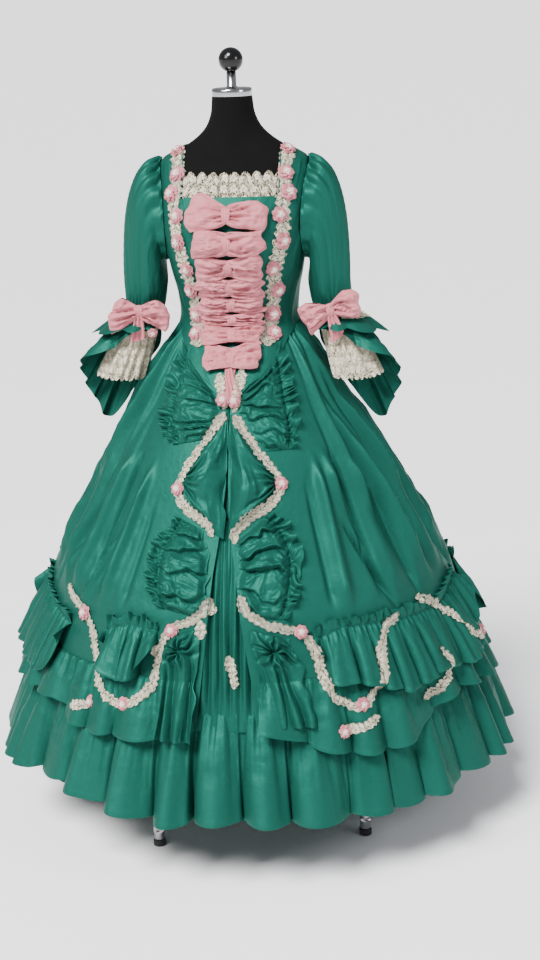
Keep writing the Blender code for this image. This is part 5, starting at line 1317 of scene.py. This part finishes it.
SWAGS = (
    Swag("lace_diamond_right",
         (Edge(-2.6, 0.931), Edge(-5.4, 0.911), Edge(-11.2, 0.873), Edge(-16.4, 0.832),
          Edge(-19.4, 0.797), Edge(-17.6, 0.768), Edge(-13.8, 0.750), Edge(-9.2, 0.739),
          Edge(-5.6, 0.722), Edge(-4.2, 0.704)), (Edge(-19.6, 0.787),)),
    Swag("lace_diamond_left",
         (Edge(2.6, 0.925), Edge(7.6, 0.893), Edge(14.2, 0.852), Edge(19.0, 0.824),
          Edge(20.8, 0.796), Edge(18.2, 0.772), Edge(13.0, 0.752), Edge(7.0, 0.731),
          Edge(3.6, 0.712), Edge(2.4, 0.692)), (Edge(21.0, 0.797),)),
    Swag("lace_swag_right",
         (Edge(-3.6, 0.596), Edge(-5.8, 0.568), Edge(-9.4, 0.552), Edge(-13.4, 0.536),
          Edge(-16.4, 0.500), Edge(-17.2, 0.455), Edge(-18.8, 0.412), Edge(-23.6, 0.384),
          Edge(-29.5, 0.389), Edge(-34.0, 0.420), Edge(-36.6, 0.465), Edge(-39.0, 0.505),
          Edge(-43.2, 0.531), Edge(-48.6, 0.545), Edge(-55.4, 0.566)),
         (Edge(-13.8, 0.534), Edge(-24.4, 0.383), Edge(-43.4, 0.531))),
    Swag("lace_swag_left",
         (Edge(4.0, 0.600), Edge(6.2, 0.570), Edge(10.5, 0.550), Edge(15.0, 0.541),
          Edge(19.7, 0.532), Edge(22.8, 0.495), Edge(24.2, 0.450), Edge(26.4, 0.402),
          Edge(31.7, 0.378), Edge(36.0, 0.396), Edge(38.3, 0.430), Edge(40.2, 0.475),
          Edge(43.6, 0.512), Edge(48.6, 0.530)), (Edge(19.9, 0.531), Edge(32.6, 0.380))),
    Swag("lace_swag_side",
         (Edge(57.5, 0.545), Edge(64.0, 0.520), Edge(70.0, 0.478), Edge(74.5, 0.425),
          Edge(80.0, 0.415), Edge(85.0, 0.440), Edge(88.0, 0.485)), (Edge(80.5, 0.416),)),
)
# Short lengths of the same lace with no solid of their own, and the roses on them
EXTRA_LACE = (
    Swag("lace_point_right",
         (Edge(-7.5, 1.000), Edge(-5.6, 0.975), Edge(-3.4, 0.952), Edge(-2.8, 0.935)),
         (Edge(-3.4, 0.951),)),
    Swag("lace_point_left",
         (Edge(7.5, 1.005), Edge(5.2, 0.975), Edge(3.4, 0.950), Edge(2.8, 0.930)),
         (Edge(2.4, 0.950),)),
    Swag("lace_petticoat_top", (Edge(-5.6, 0.580), Edge(-4.0, 0.575), Edge(-2.0, 0.578)), ()),
    Swag("lace_petticoat_right", (Edge(-6.2, 0.556), Edge(-6.0, 0.540), Edge(-5.7, 0.522)), ()),
    Swag("lace_petticoat_left", (Edge(0.9, 0.492), Edge(2.0, 0.462), Edge(2.7, 0.430)), ()),
    Swag("lace_low_left", (Edge(27.1, 0.336), Edge(31.5, 0.338), Edge(36.5, 0.352)),
         (Edge(27.1, 0.336),)),
    Swag("lace_low_right", (Edge(-40.0, 0.352), Edge(-36.6, 0.360), Edge(-34.0, 0.369)),
         (Edge(-34.8, 0.369),)),
    Swag("lace_under_left",
         (Edge(58.0, 0.441), Edge(60.0, 0.400), Edge(56.0, 0.368), Edge(50.2, 0.354)), ()),
)


def cloth_tree():
    """A search tree over every piece of cloth made so far, for laying lace on it."""
    corners, faces, count = [], [], 0
    for piece in cloth_under_lace:
        points = np.empty(len(piece.data.vertices) * 3, np.float32)
        piece.data.vertices.foreach_get("co", points)
        rows = np.empty(len(piece.data.polygons) * 4, np.int32)
        piece.data.polygons.foreach_get("vertices", rows)
        corners.append(points.reshape(-1, 3))
        faces.append(rows.reshape(-1, 4) + count)
        count += len(piece.data.vertices)
    return BVHTree.FromPolygons(np.concatenate(corners).tolist(), np.concatenate(faces).tolist())


def laid_out(angle, height, clear):
    """How far out lace lies: the cloth hit by a ray from outside, evened out by its neighbours."""
    start, normal = figure(angle, height, RAY_FROM), figure_normal(angle, height)
    rays = zip(start.reshape(-1, 3), normal.reshape(-1, 3))
    found = [tree.ray_cast(Vector(p), Vector(-n), RAY_LENGTH)[3] for p, n in rays]
    out = np.array([RAY_LOST if reach is None else RAY_FROM - reach for reach in found])
    out = out.reshape(angle.shape)
    for _ in range(3):
        padded = np.pad(out, ((0, 0), (2, 2)), mode="edge")
        spread = sum(weight * padded[:, k:k + out.shape[1]] for k, weight in enumerate((1, 2, 3, 2, 1))) / 9
        out = np.maximum(spread, out * 0.5 + spread * 0.5)
    return out + clear


def lace_strip(angle, height, trim, rows=7):
    """A strip of lace along a path on the figure, laid on the cloth.

    Its edges are scalloped by a rectified sine and ragged by noise; its rims wave by a cosine
    of the distance along.
    """
    walked = lengths(figure(angle, height)[None], 1)[0]
    along = np.linspace(0, walked[-1], max(int(walked[-1] / STITCH), 12))
    angle, height = np.interp(along, walked, angle), np.interp(along, walked, height)
    across = -np.cross(figure_normal(angle, height), np.gradient(figure(angle, height), axis=0))
    across /= np.linalg.norm(across, axis=-1, keepdims=True)
    rim = np.linspace(-1, 1, rows)[:, None]
    scallop = trim.scallop * (np.abs(np.sin(np.pi * along / trim.pitch + 1.1 * rim)) - 0.5)
    edge = trim.width / 2 + scallop + 0.0026 * cloud(along / 0.011 + 3, 3 * rim + 9, 77)
    edge = edge * np.clip(np.minimum(along, walked[-1] - along) / 0.010, 0.12, 1) ** 0.5
    wide = rim * edge + 0.0014 * cloud(along / 0.020 + 5, 0 * along + 4, 78)
    degree = figure(angle + 0.5, height) - figure(angle - 0.5, height)
    turn = angle + wide * (across * degree).sum(axis=-1) / (degree ** 2).sum(axis=-1)
    z = height + wide * across[:, 2]
    drift = 3.0 * cloud(along / 0.025 + 7, rim + 9, 79)
    waved = np.cos(2 * np.pi * along / (0.8 * trim.pitch) + 1.5 * rim + drift)
    frill = 0.0015 * rim ** 2 * (0.8 + waved) + 0.0004 * waved
    return figure(turn, z, laid_out(turn, z, LACE_CLEAR) + frill)


def rose_finish():
    """Ribbon roses: crisp pink petals that pale to a whitish bud, by the mesh's tone attribute."""
    paint = Paint("ribbon_rose", Roughness=0.6)
    tone = paint.wire(paint.node("ShaderNodeAttribute", {"attribute_name": "tone"}, {}), "Fac")
    weave = paint.noise(paint.place("object"), 700.0, 3.0)
    pink = paint.mix(weave, (0.34, 0.085, 0.110), (0.48, 0.165, 0.190))
    return paint.finish(Base_Color=paint.mix(tone, (0.66, 0.56, 0.50), pink),
                        Normal=paint.bump(weave, 0.0008, 0.7))


# Rings of petals, outermost first: radii and heights as shares of the rose's radius
Petals = namedtuple("Petals", "inner outer low high waves ruffle tone")
PETALS = (Petals(0.30, 1.00, 0.02, 0.22, 7, 0.080, 1.0), Petals(0.25, 0.86, 0.10, 0.40, 6, 0.080, 1.0),
          Petals(0.20, 0.70, 0.18, 0.56, 6, 0.070, 1.0), Petals(0.14, 0.53, 0.26, 0.62, 5, 0.060, 0.75),
          Petals(0.08, 0.38, 0.32, 0.70, 4, 0.050, 0.15), Petals(0.02, 0.20, 0.38, 0.72, 3, 0.030, 0.1))
PETAL_COLUMNS, PETAL_ROWS = 40, 6
BUD_RADIUS, BUD_FOOT, BUD_RISE = 0.20, 0.45, 0.27
petal_turn = np.arange(PETAL_COLUMNS) * 2 * np.pi / PETAL_COLUMNS
petal_rise = np.linspace(0, 1, PETAL_ROWS)[:, None]


def ring_of_petals(row, phase):
    """A ring about +Z whose reach and height ripple by cosines and sines of the turn."""
    turn, t = petal_turn, petal_rise
    wave = np.cos(row.waves * turn + phase) + 0.4 * np.cos((2 * row.waves + 1) * turn + 2 * phase)
    reach = row.inner + (row.outer - row.inner) * t + row.ruffle * t * wave
    rise = (row.low + (row.high - row.low) * t ** 0.8
            + 1.1 * row.ruffle * t * np.sin(row.waves * turn + phase)
            - 0.16 * np.maximum(t - 0.7, 0) / 0.3)
    return np.stack([reach * np.cos(turn), reach * np.sin(turn), rise], axis=-1)


def bud():
    """A dome about +Z: a quarter turn of sine and cosine, pinched to three lobes."""
    reach = BUD_RADIUS * np.cos(petal_rise * 1.57) * (1 + 0.1 * np.cos(3 * petal_turn))
    rise = BUD_FOOT + BUD_RISE * np.sin(petal_rise * 1.57)
    return np.stack([reach * np.cos(petal_turn), reach * np.sin(petal_turn),
                     rise + 0 * petal_turn], axis=-1)


def rose_points(seed):
    """All rings of a rose of radius 1, and its bud, as one array of grids."""
    phases = np.random.default_rng(seed).uniform(0, 6.28, len(PETALS))
    return np.array([ring_of_petals(row, phase) for row, phase in zip(PETALS, phases)] + [bud()])


def roses(name, middles, normals, radius, seed):
    """One object of several roses, each at a point and facing along a normal."""
    grids = []
    for k, (middle, normal) in enumerate(zip(middles, normals)):
        turn = np.array(Vector((0, 0, 1)).rotation_difference(Vector(normal)).to_matrix())
        size = radius * (0.94 + 0.03 * ((k * 7) % 5))
        grids.append(size * rose_points(seed + k) @ turn.T + middle)
    grids = np.concatenate(grids)
    corners = grid_corners(PETAL_ROWS, PETAL_COLUMNS + 1)
    turned = [corners[k] for k in (0, 3, 2, 1)]         # a ring's rows run outwards, not down
    faces = np.stack([a * PETAL_COLUMNS + b % PETAL_COLUMNS for a, b in turned], axis=-1)
    firsts = np.arange(len(grids))[:, None, None] * PETAL_ROWS * PETAL_COLUMNS
    tones = np.tile([row.tone for row in PETALS] + [0.0], len(middles))
    piece = piece_of(name, grids, (faces.reshape(-1, 4) + firsts).reshape(-1, 4), rose_cloth)
    values = np.repeat(tones, PETAL_ROWS * PETAL_COLUMNS).astype(np.float32)
    piece.data.attributes.new("tone", "FLOAT", "POINT").data.foreach_set("value", values)
    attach(piece, "root")


def roses_on_cloth(name, angle, height, clear, radius, seed):
    """Roses that stand on whatever cloth or lace lies at those places of the figure."""
    out = laid_out(angle[None], height[None], clear)[0]
    roses(name, figure(angle, height, out), figure_normal(angle, height), radius, seed)


neck_lace = lace_finish("neckline_lace", 0.024, 240.0, 0.12)
galloon = lace_finish("galloon_lace", 0.0150, 220.0, 0.13)
narrow_lace = lace_finish("narrow_lace", 0.0125, 240.0, 0.14)
rose_cloth = rose_finish()
tree = cloth_tree()

NECK_HALF_WIDTH, NECK_FOOT, NECK_LACE_TOP = 0.093, 1.322, 1.379
NECK_SCALLOP, NECK_SCALLOP_PITCH, NECK_WAVE_PITCH = 0.010, 0.022, 0.026
NECK_TUCKED, NECK_LEAN, NECK_WAVE = 0.003, 0.0040, 0.0018
across = np.linspace(-NECK_HALF_WIDTH, NECK_HALF_WIDTH, 260)
up = np.linspace(1, 0, 30)[:, None]
scallop = NECK_SCALLOP * np.abs(np.sin(np.pi * across / NECK_SCALLOP_PITCH)) ** 0.8
frill_height = NECK_FOOT + (NECK_LACE_TOP + scallop - NECK_FOOT) * up
frill_wave = np.cos(2 * np.pi * across / NECK_WAVE_PITCH) * up ** 1.5
frill_angle = np.sign(across) * angle_at(np.abs(across), frill_height)
frill_out = BODICE_SKIN - NECK_TUCKED + NECK_LEAN * up ** 2 + NECK_WAVE * frill_wave
neck_grid = figure(frill_angle, frill_height, frill_out)
neck_frill = surface("neckline_lace_frill", neck_grid, neck_lace)
sew(neck_frill, neck_grid, ["neckline_lace"])

heights = np.linspace(EDGING[0].height, EDGING[-1].height, 60)
half = read(EDGING[::-1], heights, "half_width")
for name, side in SIDES.items():
    grid = lace_strip(side * angle_at(half, heights), heights, GALLOON)
    piece = surface(f"edging_lace_{name}_galloon", grid, galloon)
    rose_height = column(BODICE_ROSES, "height")
    rose_angle = side * angle_at(column(BODICE_ROSES, name), rose_height)
    roses_on_cloth(f"edging_roses_{name}", rose_angle, rose_height, 0.0020, BODICE_ROSE, 300 + side * 20)
    sew(piece, grid, [f"edging_lace_{name}"])

CUFF_ROSE_AT, CUFF_ROSE_FACING = (-0.168, -0.130, 1.073), (0.25, -0.94, -0.22)
roses("cuff_rose_right", [CUFF_ROSE_AT], [CUFF_ROSE_FACING], CUFF_ROSE, 390)

for k, row in enumerate(SWAGS + EXTRA_LACE):
    angle, height = edge_points(row.points, 12 * len(row.points))
    grid = lace_strip(angle, height, NARROW)
    piece = surface(f"{row.name}_strip", grid, narrow_lace)
    if row.roses:
        roses_on_cloth(f"{row.name}_roses", column(row.roses, "angle"), column(row.roses, "height"),
                       0.0025, SKIRT_ROSE, 400 + 10 * k)
    nodes = [row.name] if row in SWAGS else []
    sew(piece, grid, nodes)


# The camera stands in front and a little to the wearer's left, above the gown's waist.
AZIMUTH, PITCH, ROLL = math.radians(8.0), math.radians(16.2), math.radians(2.0)
FOCAL_PIXELS, IMAGE_HEIGHT, SENSOR = 1710.0, 960.0, 36.0
CAMERA_AWAY, CAMERA_RIGHT, CAMERA_HEIGHT, MIDDLE_Y = 3.5, 0.05, 1.75, -0.04
back = Vector((math.sin(AZIMUTH), -math.cos(AZIMUTH), 0.0))
right = Vector((math.cos(AZIMUTH), math.sin(AZIMUTH), 0.0))
forward = -back * math.cos(PITCH) - Vector((0, 0, 1)) * math.sin(PITCH)
upward = right.cross(forward)
camera_right = right * math.cos(ROLL) - upward * math.sin(ROLL)
camera_up = right * math.sin(ROLL) + upward * math.cos(ROLL)
lens = bpy.data.cameras.new("camera")
lens.sensor_width = SENSOR
lens.lens = FOCAL_PIXELS / IMAGE_HEIGHT * SENSOR
lens.clip_end = 2000.0
camera = bpy.data.objects.new("camera", lens)
turn = Matrix((camera_right, camera_up, -forward)).transposed()
place = Vector((0, MIDDLE_Y, CAMERA_HEIGHT)) + back * CAMERA_AWAY + right * CAMERA_RIGHT
camera.matrix_world = Matrix.Translation(place) @ turn.to_4x4()
bpy.context.scene.collection.objects.link(camera)
bpy.context.scene.camera = camera


# The floor: a wide pale sheet of studio paper, lit by a soft sky, two large lamps and one
# wide light overhead, which gives the soft shadow under the hem.
FLOOR_HALF = 600.0
SKY_COLOUR, SKY_STRENGTH = (0.93, 0.95, 1.0, 1.0), 0.43
CEILING_SPREAD, CEILING_POWER, CEILING_TURN = 22.0, 7.6, (36.0, -18.0, 0.0)
LAMP_AIM = (0, 0, 0.7)


def paper_finish():
    """Pale matt paper with a faint mottle."""
    paint = Paint("studio_paper", Roughness=0.95)
    mottle = paint.noise(paint.place("object"), 3.0, 4.0)
    return paint.finish(Base_Color=paint.mix(mottle, (0.91, 0.91, 0.92), (0.94, 0.94, 0.95)))


floor_grid = np.array([[[-FLOOR_HALF, FLOOR_HALF, 0.0], [FLOOR_HALF, FLOOR_HALF, 0.0]],
                       [[-FLOOR_HALF, -FLOOR_HALF, 0.0], [FLOOR_HALF, -FLOOR_HALF, 0.0]]])
floor = surface("studio_floor", floor_grid, paper_finish())

world = bpy.data.worlds.new("soft_sky")
world.use_nodes = True
sky = world.node_tree.nodes["Background"]
sky.inputs["Color"].default_value, sky.inputs["Strength"].default_value = SKY_COLOUR, SKY_STRENGTH
bpy.context.scene.world = world


def lamp(name, place, size, power, colour):
    """A square soft lamp at a place, aimed at the gown."""
    light = bpy.data.lights.new(name, "AREA")
    light.shape, light.size, light.energy, light.color = "SQUARE", size, power, colour
    thing = bpy.data.objects.new(name, light)
    facing = (Vector(LAMP_AIM) - Vector(place)).to_track_quat("-Z", "Y")
    thing.matrix_world = Matrix.Translation(place) @ facing.to_matrix().to_4x4()
    bpy.context.scene.collection.objects.link(thing)


lamp("key_lamp", (-2.2, -2.6, 3.4), 1.5, 120.0, (1.0, 0.98, 0.95))
lamp("side_lamp", (3.0, -1.6, 2.4), 1.0, 45.0, (0.95, 0.97, 1.0))
sky_light = bpy.data.lights.new("ceiling", "SUN")
sky_light.angle, sky_light.energy = math.radians(CEILING_SPREAD), CEILING_POWER
ceiling = bpy.data.objects.new("ceiling", sky_light)
ceiling.rotation_euler = [math.radians(turn) for turn in CEILING_TURN]
bpy.context.scene.collection.objects.link(ceiling)
